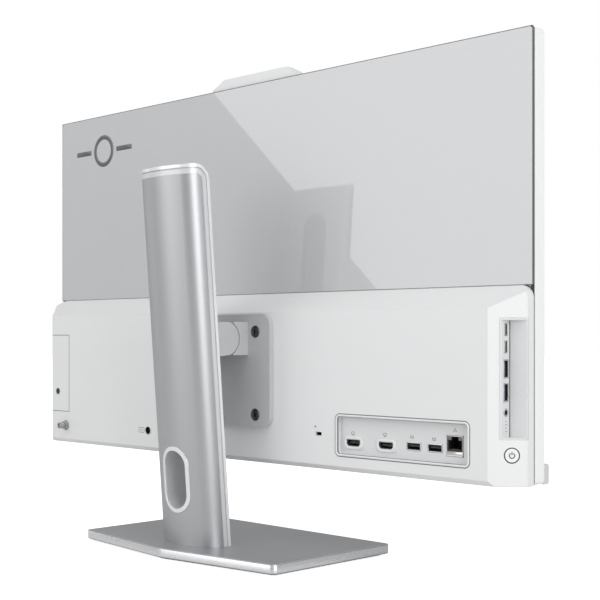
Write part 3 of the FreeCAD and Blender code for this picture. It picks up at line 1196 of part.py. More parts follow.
def column_inside():
    """Foot with its screws, guide rods, rod bracket, carriage with bushes, springs and strips."""
    foot = column_section("foot_block", "column_front + front_thick + web_thick + trim_depth", "column_rear",
                          "shell_wall", ("base_top", "base_top + foot_high"))
    thread = ("pad_thick", "base_top + foot_high - 4")
    screws = []
    for index, spot in enumerate(foot_screw_places()):
        shank = cylinder(f"foot_shank_{index}", "z", "foot_screw_radius", thread, spot)
        head = cylinder(f"foot_head_{index}", "z", "foot_head_radius",
                        ("pad_thick", "pad_thick + foot_head_high"),
                        spot)
        screws.append(fuse(f"foot_screw_{index}", [shank, head]))
    shanks = [cylinder(f"foot_bore_{index}", "z", "foot_screw_radius", thread, spot)
              for index, spot in enumerate(foot_screw_places())]
    rod_holes = [leaning(group(f"foot_rod_{side}", [
        cylinder(f"foot_rod_tool_{side}", "z", "rod_radius", ("rod_foot", "foot_high + 5"),
                 (f"{side} * rod_x", "rod_y"))]))
        for side in (-1, 1)]
    piece(cut("foot_cut", foot, fuse("foot_bores", shanks + rod_holes)), "column_foot")
    piece(group("foot_screws", screws), "column_screws")

    rods = [leaning(group(f"rod_{side}", [
        cylinder(f"rod_bar_{side}", "z", "rod_radius", ("rod_foot", "rod_top"),
                 (f"{side} * rod_x", "rod_y"))]))
        for side in (-1, 1)]
    piece(group("rods", rods), "guide_rods")
    bracket = box("bracket_box", ("-rod_x - rod_radius - 1.5", "rod_x + rod_radius + 1.5"),
                  ("carriage_front", "carriage_front + bracket_deep"), ("rod_top - bracket_high", "rod_top"))
    bracket_holes = [cylinder(f"bracket_hole_{side}", "z", "rod_radius",
                              ("rod_top - bracket_high - 1", "rod_top + 1"),
                              (f"{side} * rod_x", "rod_y")) for side in (-1, 1)]
    block = leaning(cut("bracket_cut", bracket, fuse("bracket_holes", bracket_holes)))
    room = column_section("bracket_room", "column_front", "column_rear", "shell_wall + 0.2",
                          ("base_top", "column_top + 5"))
    piece(common("bracket_fit", [block, room]), "rod_bracket")
    carriage()
    springs()


def carriage():
    """Carriage block on two rods, with a pocket and axle for the rolled springs, and its bushes."""
    rear = "carriage_front + carriage_thick"
    block = box("carriage_box", ("-carriage_half", "carriage_half"), ("carriage_front", rear),
                ("carriage_low", "carriage_high"))
    pocket = box("carriage_pocket", ("-coil_wide - 2", "coil_wide + 2"), ("0", f"{rear} + 5"),
                 ("coil_height - coil_radius - 2", "carriage_high + 1"))
    bores = [cylinder(f"carriage_bore_{side}", "z", "bush_radius", ("carriage_low - 1", "carriage_high + 1"),
                      (f"{side} * rod_x", "rod_y")) for side in (-1, 1)]
    axle = cylinder("carriage_axle", "x", "axle_radius", ("-coil_wide - 3", "coil_wide + 3"),
                    ("coil_y", "coil_height"))
    hollow = cut("carriage_hollow", block, fuse("carriage_space", [pocket] + bores))
    piece(leaning(fuse("carriage_solid", [hollow, axle])), "lift_carriage")
    bushes = []
    for side in (-1, 1):
        for low in ("carriage_low", "carriage_high - bush_length"):
            name = f"bush_{side}_{low[:12]}"
            tube = cylinder(f"{name}_tube", "z", "bush_radius", (low, f"{low} + bush_length"),
                            (f"{side} * rod_x", "rod_y"))
            hole = cylinder(f"{name}_hole", "z", "rod_radius + pin_play",
                            (f"{low} - 1", f"{low} + bush_length + 1"),
                            (f"{side} * rod_x", "rod_y"))
            bushes.append(cut(name, tube, hole))
    piece(leaning(group("bushes", bushes)), "guide_bushes")


def springs():
    """Two rolled lift springs on the carriage's axle and the straight strips that run up to the bracket."""
    coils = []
    strips = []
    for side in (-1, 1):
        low_x = "1" if side > 0 else "-1 - coil_wide"
        high_x = "1 + coil_wide" if side > 0 else "-1"
        roll = cylinder(f"coil_roll_{side}", "x", "coil_radius", (low_x, high_x), ("coil_y", "coil_height"))
        bore = cylinder(f"coil_bore_{side}", "x", "axle_radius + pin_play", (low_x, high_x),
                        ("coil_y", "coil_height"))
        coils.append(cut(f"coil_{side}", roll, bore))
        strips.append(box(f"strip_{side}", (low_x, high_x),
                          ("coil_y + coil_radius + 0.05", "coil_y + coil_radius + 0.05 + strip_thick"),
                          ("coil_height", "rod_top - bracket_high")))
    piece(leaning(group("coils", coils)), "lift_springs")
    piece(leaning(group("strips", strips)), "spring_strips")


# ---------------------------------------------------------------- base

def base_outline(inset):
    """Base plate outline: straight front and sides, shallow point at the rear."""
    half = f"base_half - {inset}"
    return [(f"-({half})", f"base_front + {inset}"), (half, f"base_front + {inset}"),
            (half, f"base_corner_y - {inset}"), ("0", f"base_peak - {inset}"),
            (f"-({half})", f"base_corner_y - {inset}")]


def base():
    """Base plate and the pad it rests on."""
    plate = prism("base_body", "z", ("pad_thick", "base_top"), base_outline("0"))
    side = number("base_half") - 1
    round_edges(plate, ALONG_Z, "base_corner", lambda middle: abs(middle.x) > side)
    round_edges(plate, ALONG_Z, "base_peak_radius",
                lambda middle: abs(middle.x) < 1 and middle.y > number("base_corner_y"))
    recesses = []
    for index, spot in enumerate(foot_screw_places()):
        recesses.append(cylinder(f"base_head_{index}", "z", "foot_head_radius",
                                 ("pad_thick", "pad_thick + foot_head_high"), spot))
        recesses.append(cylinder(f"base_bore_{index}", "z", "foot_screw_radius", ("pad_thick", "base_top"),
                                 spot))
    piece(cut("base_cut", plate, fuse("base_space", recesses)), "base_plate")
    pad = prism("pad_body", "z", ("0", "pad_thick"), base_outline("pad_inset"))
    round_edges(pad, ALONG_Z, "base_corner - 2", lambda middle: abs(middle.x) > side - number("pad_inset"))
    piece(pad, "base_pad")


def build():
    """Makes every sub-part of the head, the hinge, the column and the base."""
    fill_sheet()
    rear_housing()
    upper_panel()
    front_parts()
    chassis()
    webcam()
    rear_io()
    side_io()
    rear_fittings()
    power_button()
    drive_bay()
    electronics()
    cooling()
    mounting_plate()
    lift_arm()
    column()
    column_inside()
    base()


def check_and_write():
    """Stops on any failed object, then writes one STEP file per sub-part."""
    doc.recompute()
    failed = [item.Label for item in doc.Objects if {"Invalid", "Error"} & set(item.State)]
    if failed:
        raise RuntimeError(f"failed objects: {failed}")
    os.makedirs("parts", exist_ok=True)
    for item in pieces:
        if item.Shape.isNull() or not item.Shape.isValid():
            raise RuntimeError(f"bad shape: {item.Label}")
        item.Shape.exportStep(os.path.join("parts", f"{item.Label}.step"))
    print(len(pieces), "sub-parts")
    for item in pieces:
        bounds = item.Shape.BoundBox
        print(f"{item.Label:24s} solids {len(item.Shape.Solids):2d} volume {item.Shape.Volume:11.1f}"
              f" X {bounds.XMin:8.1f} {bounds.XMax:8.1f} Y {bounds.YMin:7.1f} {bounds.YMax:7.1f}"
              f" Z {bounds.ZMin:7.1f} {bounds.ZMax:7.1f}")


build()
check_and_write()
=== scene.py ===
import math
import bmesh
import bpy
import numpy as np
from mathutils import Matrix, Vector


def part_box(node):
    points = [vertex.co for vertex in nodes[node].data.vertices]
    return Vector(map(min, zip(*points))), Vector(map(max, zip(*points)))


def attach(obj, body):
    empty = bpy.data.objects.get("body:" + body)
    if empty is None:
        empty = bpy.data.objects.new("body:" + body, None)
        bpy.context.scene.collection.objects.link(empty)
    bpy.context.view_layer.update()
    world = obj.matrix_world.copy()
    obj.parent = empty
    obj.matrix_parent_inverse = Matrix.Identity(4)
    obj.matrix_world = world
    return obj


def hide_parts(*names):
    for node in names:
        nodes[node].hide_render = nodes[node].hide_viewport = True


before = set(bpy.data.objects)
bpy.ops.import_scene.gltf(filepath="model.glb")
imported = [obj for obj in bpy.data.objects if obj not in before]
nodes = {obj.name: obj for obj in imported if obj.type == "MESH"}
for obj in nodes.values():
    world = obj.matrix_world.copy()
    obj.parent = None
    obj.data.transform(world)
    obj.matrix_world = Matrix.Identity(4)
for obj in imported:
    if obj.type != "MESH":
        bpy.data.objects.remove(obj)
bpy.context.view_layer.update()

MM = 0.001

# Facing directions: each gives the axes (across, up, out) of a face seen from outside.
DIAGONAL = math.sqrt(0.5)
FACING = {
    "rear": ((-1, 0, 0), (0, 0, 1), (0, 1, 0)),
    "front": ((1, 0, 0), (0, 0, 1), (0, -1, 0)),
    "end": ((0, -1, 0), (0, 0, 1), (-1, 0, 0)),
    "top": ((1, 0, 0), (0, 1, 0), (0, 0, 1)),
    "bevel": ((-DIAGONAL, -DIAGONAL, 0), (0, 0, 1), (-DIAGONAL, DIAGONAL, 0)),
}


# ---------------------------------------------------------------- shader groups

def new_group(name, inputs, outputs):
    """Empty shader node group with typed inputs (name, kind, default) and outputs (name, kind)."""
    tree = bpy.data.node_groups.new(name, "ShaderNodeTree")
    for label, kind, default in inputs:
        socket = tree.interface.new_socket(name=label, in_out="INPUT", socket_type=f"NodeSocket{kind}")
        if default is not None:
            socket.default_value = default
    for label, kind in outputs:
        tree.interface.new_socket(name=label, in_out="OUTPUT", socket_type=f"NodeSocket{kind}")
    return tree, tree.nodes.new("NodeGroupInput"), tree.nodes.new("NodeGroupOutput")


def feed(tree, target, value):
    """Links a socket to the target, or sets the target's own value."""
    if isinstance(value, bpy.types.NodeSocket):
        tree.links.new(value, target)
    else:
        target.default_value = value


def math_node(tree, operation, first, second=0.0, third=None):
    node = tree.nodes.new("ShaderNodeMath")
    node.operation = operation
    feed(tree, node.inputs[0], first)
    feed(tree, node.inputs[1], second)
    if third is not None:
        feed(tree, node.inputs[2], third)
    return node.outputs[0]


def noise(tree, position, scale, detail=3.0, roughness=0.55):
    node = tree.nodes.new("ShaderNodeTexNoise")
    feed(tree, node.inputs["Vector"], position)
    feed(tree, node.inputs["Scale"], scale)
    node.inputs["Detail"].default_value = detail
    node.inputs["Roughness"].default_value = roughness
    return node.outputs["Fac"]


def tinted(tree, colour, factor, amount):
    """Colour made lighter where the factor is above a half and darker where it is below."""
    node = tree.nodes.new("ShaderNodeHueSaturation")
    swing = math_node(tree, "MULTIPLY", math_node(tree, "SUBTRACT", factor, 0.5), amount)
    feed(tree, node.inputs["Value"], math_node(tree, "ADD", swing, 1.0))
    feed(tree, node.inputs["Color"], colour)
    return node.outputs["Color"]


def make_moulded():
    """Moulded plastic or fine paint: small pebbles, soft unevenness over the part, slight tint drift."""
    tree, given, made = new_group(
        "moulded_surface",
        [("Position", "Vector", None), ("Colour", "Color", None), ("Roughness", "Float", 0.4),
         ("Pebble Scale", "Float", 1500.0), ("Tint", "Float", 0.05), ("Spread", "Float", 0.12)],
        [("Colour", "Color"), ("Roughness", "Float"), ("Height", "Float")])
    here = given.outputs["Position"]
    wide = noise(tree, here, 9.0, 4.0)
    fine = noise(tree, here, given.outputs["Pebble Scale"], 2.0)
    cells = tree.nodes.new("ShaderNodeTexVoronoi")
    feed(tree, cells.inputs["Vector"], here)
    feed(tree, cells.inputs["Scale"], given.outputs["Pebble Scale"])
    feed(tree, made.inputs["Colour"], tinted(tree, given.outputs["Colour"], wide, given.outputs["Tint"]))
    swing = math_node(tree, "MULTIPLY", math_node(tree, "SUBTRACT", wide, 0.5), given.outputs["Spread"])
    grit = math_node(tree, "MULTIPLY", math_node(tree, "SUBTRACT", fine, 0.5), 0.06)
    rough = math_node(tree, "ADD", math_node(tree, "ADD", given.outputs["Roughness"], swing), grit)
    feed(tree, made.inputs["Roughness"], rough)
    feed(tree, made.inputs["Height"], math_node(tree, "MULTIPLY_ADD", cells.outputs["Distance"], 0.5, fine))
    return tree


def make_brushed():
    """Brushed or drawn metal: noise stretched along one axis, with broad soft bands and a little haze."""
    tree, given, made = new_group(
        "brushed_surface",
        [("Position", "Vector", None), ("Stretch", "Vector", (1.0, 1.0, 1.0)), ("Colour", "Color", None),
         ("Roughness", "Float", 0.3), ("Grain Scale", "Float", 900.0), ("Tint", "Float", 0.08),
         ("Spread", "Float", 0.15)],
        [("Colour", "Color"), ("Roughness", "Float"), ("Height", "Float")])
    pulled = tree.nodes.new("ShaderNodeVectorMath")
    pulled.operation = "MULTIPLY"
    feed(tree, pulled.inputs[0], given.outputs["Position"])
    feed(tree, pulled.inputs[1], given.outputs["Stretch"])
    streak = noise(tree, pulled.outputs[0], given.outputs["Grain Scale"], 4.0, 0.65)
    coarse = math_node(tree, "MULTIPLY", given.outputs["Grain Scale"], 0.12)
    band = noise(tree, pulled.outputs[0], coarse, 3.0)
    haze = noise(tree, given.outputs["Position"], 14.0, 3.0)
    mixed = math_node(tree, "ADD", math_node(tree, "MULTIPLY", streak, 0.6),
                      math_node(tree, "MULTIPLY", band, 0.4))
    feed(tree, made.inputs["Colour"], tinted(tree, given.outputs["Colour"], mixed, given.outputs["Tint"]))
    swing = math_node(tree, "MULTIPLY", math_node(tree, "SUBTRACT", mixed, 0.5), given.outputs["Spread"])
    cloud = math_node(tree, "MULTIPLY", math_node(tree, "SUBTRACT", haze, 0.5), 0.1)
    rough = math_node(tree, "ADD", math_node(tree, "ADD", given.outputs["Roughness"], swing), cloud)
    feed(tree, made.inputs["Roughness"], rough)
    feed(tree, made.inputs["Height"], mixed)
    return tree


def make_handling():
    """Handling marks and settled dust: faint smudges change the roughness, and faces that look up
    carry a trace of pale dust."""
    tree, given, made = new_group(
        "handling_marks",
        [("Position", "Vector", None), ("Colour", "Color", None), ("Roughness", "Float", 0.3),
         ("Smudge", "Float", 0.1), ("Dust", "Float", 0.05)],
        [("Colour", "Color"), ("Roughness", "Float")])
    smear = noise(tree, given.outputs["Position"], 26.0, 5.0, 0.7)
    patch = noise(tree, given.outputs["Position"], 6.0, 2.0)
    mask = math_node(tree, "MULTIPLY", math_node(tree, "SUBTRACT", smear, 0.45), patch)
    facing = tree.nodes.new("ShaderNodeNewGeometry")
    split = tree.nodes.new("ShaderNodeSeparateXYZ")
    feed(tree, split.inputs[0], facing.outputs["Normal"])
    upward = math_node(tree, "MAXIMUM", split.outputs["Z"], 0.0)
    speck = noise(tree, given.outputs["Position"], 700.0, 2.0)
    dust = math_node(tree, "MULTIPLY", math_node(tree, "MULTIPLY", upward, speck), given.outputs["Dust"])
    blend = tree.nodes.new("ShaderNodeMix")
    blend.data_type = "RGBA"
    feed(tree, blend.inputs[0], dust)
    feed(tree, blend.inputs[6], given.outputs["Colour"])
    blend.inputs[7].default_value = (0.72, 0.71, 0.69, 1.0)
    feed(tree, made.inputs["Colour"], blend.outputs[2])
    marks = math_node(tree, "MULTIPLY_ADD", mask, given.outputs["Smudge"], given.outputs["Roughness"])
    feed(tree, made.inputs["Roughness"], math_node(tree, "ADD", marks, dust))
    return tree


MOULDED = make_moulded()
BRUSHED = make_brushed()
HANDLING = make_handling()


# ---------------------------------------------------------------- materials

def group_node(tree, group, **values):
    node = tree.nodes.new("ShaderNodeGroup")
    node.node_tree = group
    for label, value in values.items():
        feed(tree, node.inputs[label.replace("_", " ")], value)
    return node


BUMP_DEPTH = 0.00002
BEVEL_SAMPLES = 6


def finish(name, colour, roughness, *, stretch=None, scale=1500.0, tint=0.05, spread=0.12, strength=0.25,
           metallic=0.0, coat=0.0, coat_roughness=0.05, coat_ior=1.5, ior=1.5, smudge=0.06, dust=0.05,
           edge=0.4):
    """Material with a moulded or brushed surface, handling marks and bump, all on Object coordinates. Edges
    catch light as if they were rounded to the edge radius in mm."""
    material = bpy.data.materials.new(name)
    material.use_nodes = True
    tree = material.node_tree
    shader = tree.nodes["Principled BSDF"]
    place = tree.nodes.new("ShaderNodeTexCoord")
    mapping = tree.nodes.new("ShaderNodeMapping")
    feed(tree, mapping.inputs["Vector"], place.outputs["Object"])
    here = mapping.outputs["Vector"]
    full = (*colour, 1.0)
    if stretch is None:
        surface = group_node(tree, MOULDED, Position=here, Colour=full, Roughness=roughness,
                             Pebble_Scale=scale, Tint=tint, Spread=spread)
    else:
        surface = group_node(tree, BRUSHED, Position=here, Stretch=stretch, Colour=full, Roughness=roughness,
                             Grain_Scale=scale, Tint=tint, Spread=spread)
    marks = group_node(tree, HANDLING, Position=here, Colour=surface.outputs["Colour"],
                       Roughness=surface.outputs["Roughness"], Smudge=smudge, Dust=dust)
    bump = tree.nodes.new("ShaderNodeBump")
    bump.inputs["Strength"].default_value = strength
    bump.inputs["Distance"].default_value = BUMP_DEPTH
    feed(tree, bump.inputs["Height"], surface.outputs["Height"])
    if edge:
        eased = tree.nodes.new("ShaderNodeBevel")
        eased.samples = BEVEL_SAMPLES
        eased.inputs["Radius"].default_value = edge * MM
        feed(tree, bump.inputs["Normal"], eased.outputs["Normal"])
    feed(tree, shader.inputs["Base Color"], marks.outputs["Colour"])
    feed(tree, shader.inputs["Roughness"], marks.outputs["Roughness"])
    feed(tree, shader.inputs["Normal"], bump.outputs["Normal"])
    shader.inputs["Metallic"].default_value = metallic
    shader.inputs["IOR"].default_value = ior
    shader.inputs["Coat Weight"].default_value = coat
    shader.inputs["Coat Roughness"].default_value = coat_roughness
    shader.inputs["Coat IOR"].default_value = coat_ior
    material.diffuse_color = full
    return material


SHELL_WHITE = finish("shell_white", (0.79, 0.795, 0.80), 0.42, tint=0.03, edge=1.2)
RECESS_GREY = finish("recess_grey", (0.72, 0.73, 0.735), 0.45, tint=0.04)
# Painted shade: the side notch liner is a darker grey than the shell for the shade inside the notch.
NOTCH_PAINTED_SHADE = finish("notch_painted_shade", (0.68, 0.69, 0.695), 0.45, tint=0.04)
PANEL_GLOSS = finish("panel_gloss", (0.545, 0.55, 0.56), 0.34, scale=2400.0, tint=0.03, coat=1.0,
                     coat_roughness=0.015, coat_ior=1.8, edge=0.25, smudge=0.05, dust=0.0, strength=0.06)
EMBLEM_SATIN = finish("emblem_satin", (0.17, 0.175, 0.18), 0.35, stretch=(1.0, 1.0, 30.0), metallic=0.9)
FRAME_SATIN = finish("frame_satin", (0.91, 0.915, 0.92), 0.33, tint=0.03, metallic=0.05)
CHIN_SATIN = finish("chin_satin", (0.74, 0.75, 0.76), 0.36, stretch=(0.02, 1.0, 1.0), tint=0.05,
                    metallic=0.35)
SCREEN_BLACK = finish("screen_black", (0.006, 0.006, 0.008), 0.06, scale=60.0, tint=0.2, spread=0.03,
                      strength=0.01, coat=0.6, ior=1.52, smudge=0.12, dust=0.0)
SCREEN_BORDER = finish("screen_border", (0.012, 0.012, 0.013), 0.18, tint=0.1, spread=0.05, strength=0.05)
COLUMN_ANODISED = finish("column_anodised", (0.49, 0.497, 0.51), 0.42, scale=3200.0, tint=0.03, spread=0.04,
                         strength=0.04, metallic=0.9, smudge=0.03, dust=0.0, edge=0.3)
COVER_BRIGHT = finish("cover_bright", (0.88, 0.885, 0.89), 0.26, scale=2600.0, tint=0.03, metallic=0.35)
TRIM_SILVER = finish("trim_silver", (0.70, 0.71, 0.73), 0.34, tint=0.04, metallic=0.25)
# Painted shade: the white cable tunnel liner is coloured mid grey for the shade inside the cable hole.
TUNNEL_PAINTED_SHADE = finish("tunnel_painted_shade", (0.52, 0.53, 0.54), 0.38, tint=0.03)
RING_BRIGHT = finish("ring_bright", (0.88, 0.89, 0.90), 0.16, scale=2000.0, metallic=0.55)
BASE_BRUSHED = finish("base_brushed", (0.43, 0.44, 0.455), 0.36, stretch=(0.03, 1.0, 1.0), scale=1400.0,
                      tint=0.16, spread=0.2, metallic=0.75, strength=0.3, dust=0.04)
# Painted highlight: a lighter copy of the base metal for the lit sides and top edge of the base.
BASE_PAINTED_HIGHLIGHT = finish("base_painted_highlight", (0.74, 0.75, 0.76), 0.27, stretch=(0.1, 0.1, 1.0), scale=1600.0, tint=0.08,
                   metallic=0.85)
HINGE_PAINT = finish("hinge_paint", (0.50, 0.507, 0.515), 0.42, scale=1900.0, tint=0.04, strength=0.45)
SCREW_BLACK = finish("screw_black", (0.075, 0.075, 0.08), 0.3, stretch=(1.0, 1.0, 1.0), scale=3000.0,
                     tint=0.3, metallic=0.85)
NICKEL = finish("nickel", (0.46, 0.46, 0.45), 0.24, stretch=(1.0, 0.1, 1.0), scale=2600.0, tint=0.15,
                metallic=1.0)
SOCKET_STEEL = finish("socket_steel", (0.62, 0.62, 0.62), 0.25, stretch=(1.0, 0.1, 1.0), scale=2600.0,
                      tint=0.12, metallic=1.0)
CONTACT_GOLD = finish("contact_gold", (0.78, 0.56, 0.22), 0.25, stretch=(1.0, 0.1, 1.0), scale=2200.0,
                      tint=0.1, metallic=1.0)
PLASTIC_BLACK = finish("plastic_black", (0.014, 0.014, 0.016), 0.42, tint=0.15)
TONGUE_BLUE = finish("tongue_blue", (0.015, 0.035, 0.11), 0.4, tint=0.1)
INK_GREY = finish("ink_grey", (0.10, 0.105, 0.11), 0.5, tint=0.1)
SEAM_DARK = finish("seam_dark", (0.035, 0.035, 0.04), 0.6, tint=0.2)
SEAM_GREY = finish("seam_grey", (0.16, 0.165, 0.17), 0.5, tint=0.2)
BUTTON_WHITE = finish("button_white", (0.82, 0.83, 0.835), 0.3, tint=0.03)
LENS_GLASS = finish("lens_glass", (0.008, 0.008, 0.02), 0.04, scale=300.0, tint=0.3, spread=0.02,
                    strength=0.01, coat=1.0, dust=0.0)
PAD_RUBBER = finish("pad_rubber", (0.10, 0.10, 0.105), 0.7, scale=900.0, tint=0.2, strength=0.6)
SHEET_STEEL = finish("sheet_steel", (0.55, 0.56, 0.57), 0.35, stretch=(0.05, 1.0, 1.0), tint=0.1,
                     metallic=0.95)
SHEET_ALUMINIUM = finish("sheet_aluminium", (0.70, 0.71, 0.72), 0.32, stretch=(1.0, 1.0, 0.05), tint=0.08,
                         metallic=0.95)
BOARD_GREEN = finish("board_green", (0.02, 0.10, 0.055), 0.35, scale=420.0, tint=0.5, spread=0.2,
                     strength=0.5)
COPPER = finish("copper", (0.72, 0.36, 0.22), 0.28, stretch=(0.05, 1.0, 1.0), tint=0.15, metallic=1.0)
LAYER_WHITE = finish("layer_white", (0.86, 0.87, 0.86), 0.5, tint=0.03)
BUSH_CREAM = finish("bush_cream", (0.72, 0.68, 0.56), 0.45, tint=0.06)


# ---------------------------------------------------------------- mesh tools

def extent(node):
    """Lowest and highest corner of a CAD node, in mm."""
    low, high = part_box(node)
    return np.array(low) / MM, np.array(high) / MM


def rounded(corners, radius, steps=6):
    """Closed outline of a convex polygon, corners anticlockwise in mm, each rounded by a circle arc about
    a centre that stays put. The outline at grow is the same arcs with their radius larger by grow."""
    corners = np.array(corners, float)
    radius = np.broadcast_to(np.array(radius, float), len(corners))
    before = corners - np.roll(corners, 1, 0)
    before /= np.linalg.norm(before, axis=1, keepdims=True)
    after = np.roll(before, -1, 0)
    out_before = np.stack([before[:, 1], -before[:, 0]], 1)
    out_after = np.stack([after[:, 1], -after[:, 0]], 1)
    mitre = (out_before + out_after) / (1 + (out_before * out_after).sum(1, keepdims=True))
    start = np.arctan2(out_before[:, 1], out_before[:, 0])
    sweep = (np.arctan2(out_after[:, 1], out_after[:, 0]) - start) % (2 * np.pi)
    sweep = np.where(sweep > 1.999 * np.pi, 0.0, sweep)
    angle = (start[:, None] + np.linspace(0, 1, steps + 1)[None, :] * sweep[:, None])
    unit = np.stack([np.cos(angle), np.sin(angle)], 2)
    centre = corners - mitre * radius[:, None]

    def outline(grow=0.0):
        reach = np.maximum(radius + grow, 0.0)
        hub = centre + mitre * np.minimum(radius + grow, 0.0)[:, None]
        return (hub[:, None, :] + reach[:, None, None] * unit).reshape(-1, 2)
    return outline


def block(width, height, radius, steps=6, centre=(0.0, 0.0)):
    """Outline of a rectangle with rounded corners about a centre, in mm."""
    x, y = width / 2, height / 2
    spots = [(-x, -y), (x, -y), (x, y), (-x, y)]
    return rounded([(a + centre[0], b + centre[1]) for a, b in spots], radius, steps)


def circle(radius, count=48, centre=(0.0, 0.0)):
    """Outline of a circle in mm."""
    angle = np.arange(count) * 2 * np.pi / count
    unit = np.stack([np.cos(angle), np.sin(angle)], 1)

    def outline(grow=0.0):
        return np.array(centre) + (radius + grow) * unit
    return outline


def wall_faces(rings, count, wrap):
    """Quads between neighbouring rings of count points each; wrap joins the last ring to the first."""
    row = np.arange(rings if wrap else rings - 1)[:, None]
    column = np.arange(count)[None, :]
    across = (column + 1) % count
    above = (row + 1) % rings
    quads = np.stack([row * count + column, row * count + across, above * count + across,
                      above * count + column], 2)
    return quads.reshape(-1, 4).tolist()


def loft(rings):
    """Closed solid through rings, an array (ring, point, 3): walls between them and a face on each end."""
    rings = np.asarray(rings, float)
    number, count, _ = rings.shape
    faces = wall_faces(number, count, False)
    faces.append(list(range(count))[::-1])
    faces.append(list(range((number - 1) * count, number * count)))
    return rings.reshape(-1, 3), faces


def solid(outline, profile):
    """Solid whose section at each (grow, level) of the profile is the outline grown by that much."""
    return loft([np.column_stack([outline(grow), np.full(len(outline(0.0)), level)])
                 for grow, level in profile])


def hoop(outline, profile):
    """Closed ring: the closed profile (grow, level) carried round the outline."""
    rings = np.array([np.column_stack([outline(grow), np.full(len(outline(0.0)), level)])
                      for grow, level in profile])
    number, count, _ = rings.shape
    return rings.reshape(-1, 3), wall_faces(number, count, True)


def bead(half_width, height, steps=10, sink=0.4):
    """Closed profile of a rounded lip: half an ellipse above the face and a straight foot sunk below it."""
    angle = np.linspace(0, np.pi, steps + 1)
    top = np.column_stack([half_width * np.cos(angle), height * np.sin(angle)])
    return [(half_width, -sink), *map(tuple, top), (-half_width, -sink)]


def moved(shape, across):
    """Shape moved sideways, in mm."""
    points, faces = shape
    return points + np.array([across, 0.0, 0.0]), faces


def joined(shapes):
    """Several closed solids as one set of points and faces."""
    points, faces, offset = [], [], 0
    for some, their in shapes:
        points.append(some)
        faces.extend([[index + offset for index in face] for face in their])
        offset += len(some)
    return np.concatenate(points), faces


def placed(shape, facing, origin):
    """Turns a shape drawn in (across, up, out) mm to a facing and moves it to an origin in row mm."""
    points, faces = shape
    axes = np.array(FACING[facing], float)
    return points @ axes + np.array(origin, float), faces


def register(made, body, stands_for=()):
    """Rides a finished piece on its body and hides the CAD nodes it stands for."""
    if stands_for:
        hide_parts(*stands_for)
    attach(made, body)
    return made


def shade(mesh, angle):
    mesh.polygons.foreach_set("use_smooth", np.ones(len(mesh.polygons), bool))
    mesh.set_sharp_from_angle(angle=math.radians(angle))


def piece(name, shape, material, body, stands_for=(), angle=32):
    """Mesh piece from row-frame points in mm, doubles merged, faces outward, smooth up to an angle."""
    points, faces = shape
    mesh = bpy.data.meshes.new(name)
    mesh.from_pydata((points * MM).tolist(), [], faces)
    work = bmesh.new()
    work.from_mesh(mesh)
    bmesh.ops.remove_doubles(work, verts=work.verts, dist=2e-7)
    bmesh.ops.recalc_face_normals(work, faces=work.faces)
    work.to_mesh(mesh)
    work.free()
    shade(mesh, angle)
    mesh.materials.append(material)
    made = bpy.data.objects.new(name, mesh)
    bpy.context.scene.collection.objects.link(made)
    return register(made, body, stands_for)


def paint(material, *names):
    """Gives CAD nodes that stay their material."""
    for name in names:
        mesh = nodes[name].data
        mesh.materials.clear()
        mesh.materials.append(material)


def polar(radii, count=48, levels=None):
    """Closed solid round the out axis: radii is an array (ring, point) or (ring,), at the given levels."""
    radii = np.array(radii, float)
    if radii.ndim == 1:
        radii = np.repeat(radii[:, None], count, 1)
    angle = np.arange(radii.shape[1]) * 2 * np.pi / radii.shape[1]
    level = np.repeat(np.array(levels, float)[:, None], radii.shape[1], 1)
    return loft(np.stack([radii * np.cos(angle), radii * np.sin(angle), level], 2))


def strand(path, width, height):
    """Thin bar: a rectangle of width by height across the face, carried along the points of a path."""
    path = np.array(path, float)
    corner = np.array([(-width, -height), (width, -height), (width, height), (-width, height)]) / 2
    rings = np.zeros((len(path), 4, 3))
    rings[:, :, :2] = path[:, None, :2] + corner[None]
    rings[:, :, 2] = path[:, None, 2]
    return loft(rings)


PRINT_RISE, PRINT_SINK = 0.05, 0.15


def ribbon(outline, half_width, height=PRINT_RISE, sink=PRINT_SINK):
    """Thin printed or inlaid line along a closed outline, standing a hair above the face."""
    return hoop(outline, [(-half_width, -sink), (half_width, -sink), (half_width, height),
                          (-half_width, height)])


def arc_band(radius, half_width, start, stop, height=PRINT_RISE, steps=24):
    """Open ribbon along a circle arc from start to stop degrees."""
    angle = np.radians(np.linspace(start, stop, steps))
    unit = np.stack([np.cos(angle), np.sin(angle)], 1)
    low, high = -PRINT_SINK, height
    section = [(radius - half_width, low), (radius + half_width, low), (radius + half_width, high),
               (radius - half_width, high)]
    return loft(np.stack([np.column_stack([unit * reach, np.full(steps, level)])
                          for reach, level in section], 1))


def bar(width, height, x=0.0, y=0.0, rise=PRINT_RISE, radius=0.05):
    """Small raised or inlaid pad with rounded corners, centred at (x, y)."""
    return solid(block(width, height, radius, 2, (x, y)), [(0, -PRINT_SINK), (0, rise)])


# ---------------------------------------------------------------- CAD nodes that stay

paint(SHELL_WHITE, "rear_cover", "drive_tray", "webcam_housing")
# The side notch liner carries painted shade: a darker grey for the shade inside the notch.
paint(NOTCH_PAINTED_SHADE, "side_io_liner")
paint(PANEL_GLOSS, "upper_rear_panel")
paint(FRAME_SATIN, "side_frame")
paint(CHIN_SATIN, "chin_bar")
paint(RECESS_GREY, "rear_io_tray")
paint(HINGE_PAINT, "mounting_plate", "hinge_block", "lift_arm", "tilt_pin")
paint(COLUMN_ANODISED, "column_rear_shell")
paint(COVER_BRIGHT, "column_front_cover")
paint(TRIM_SILVER, "column_side_trim", "column_top_cap")
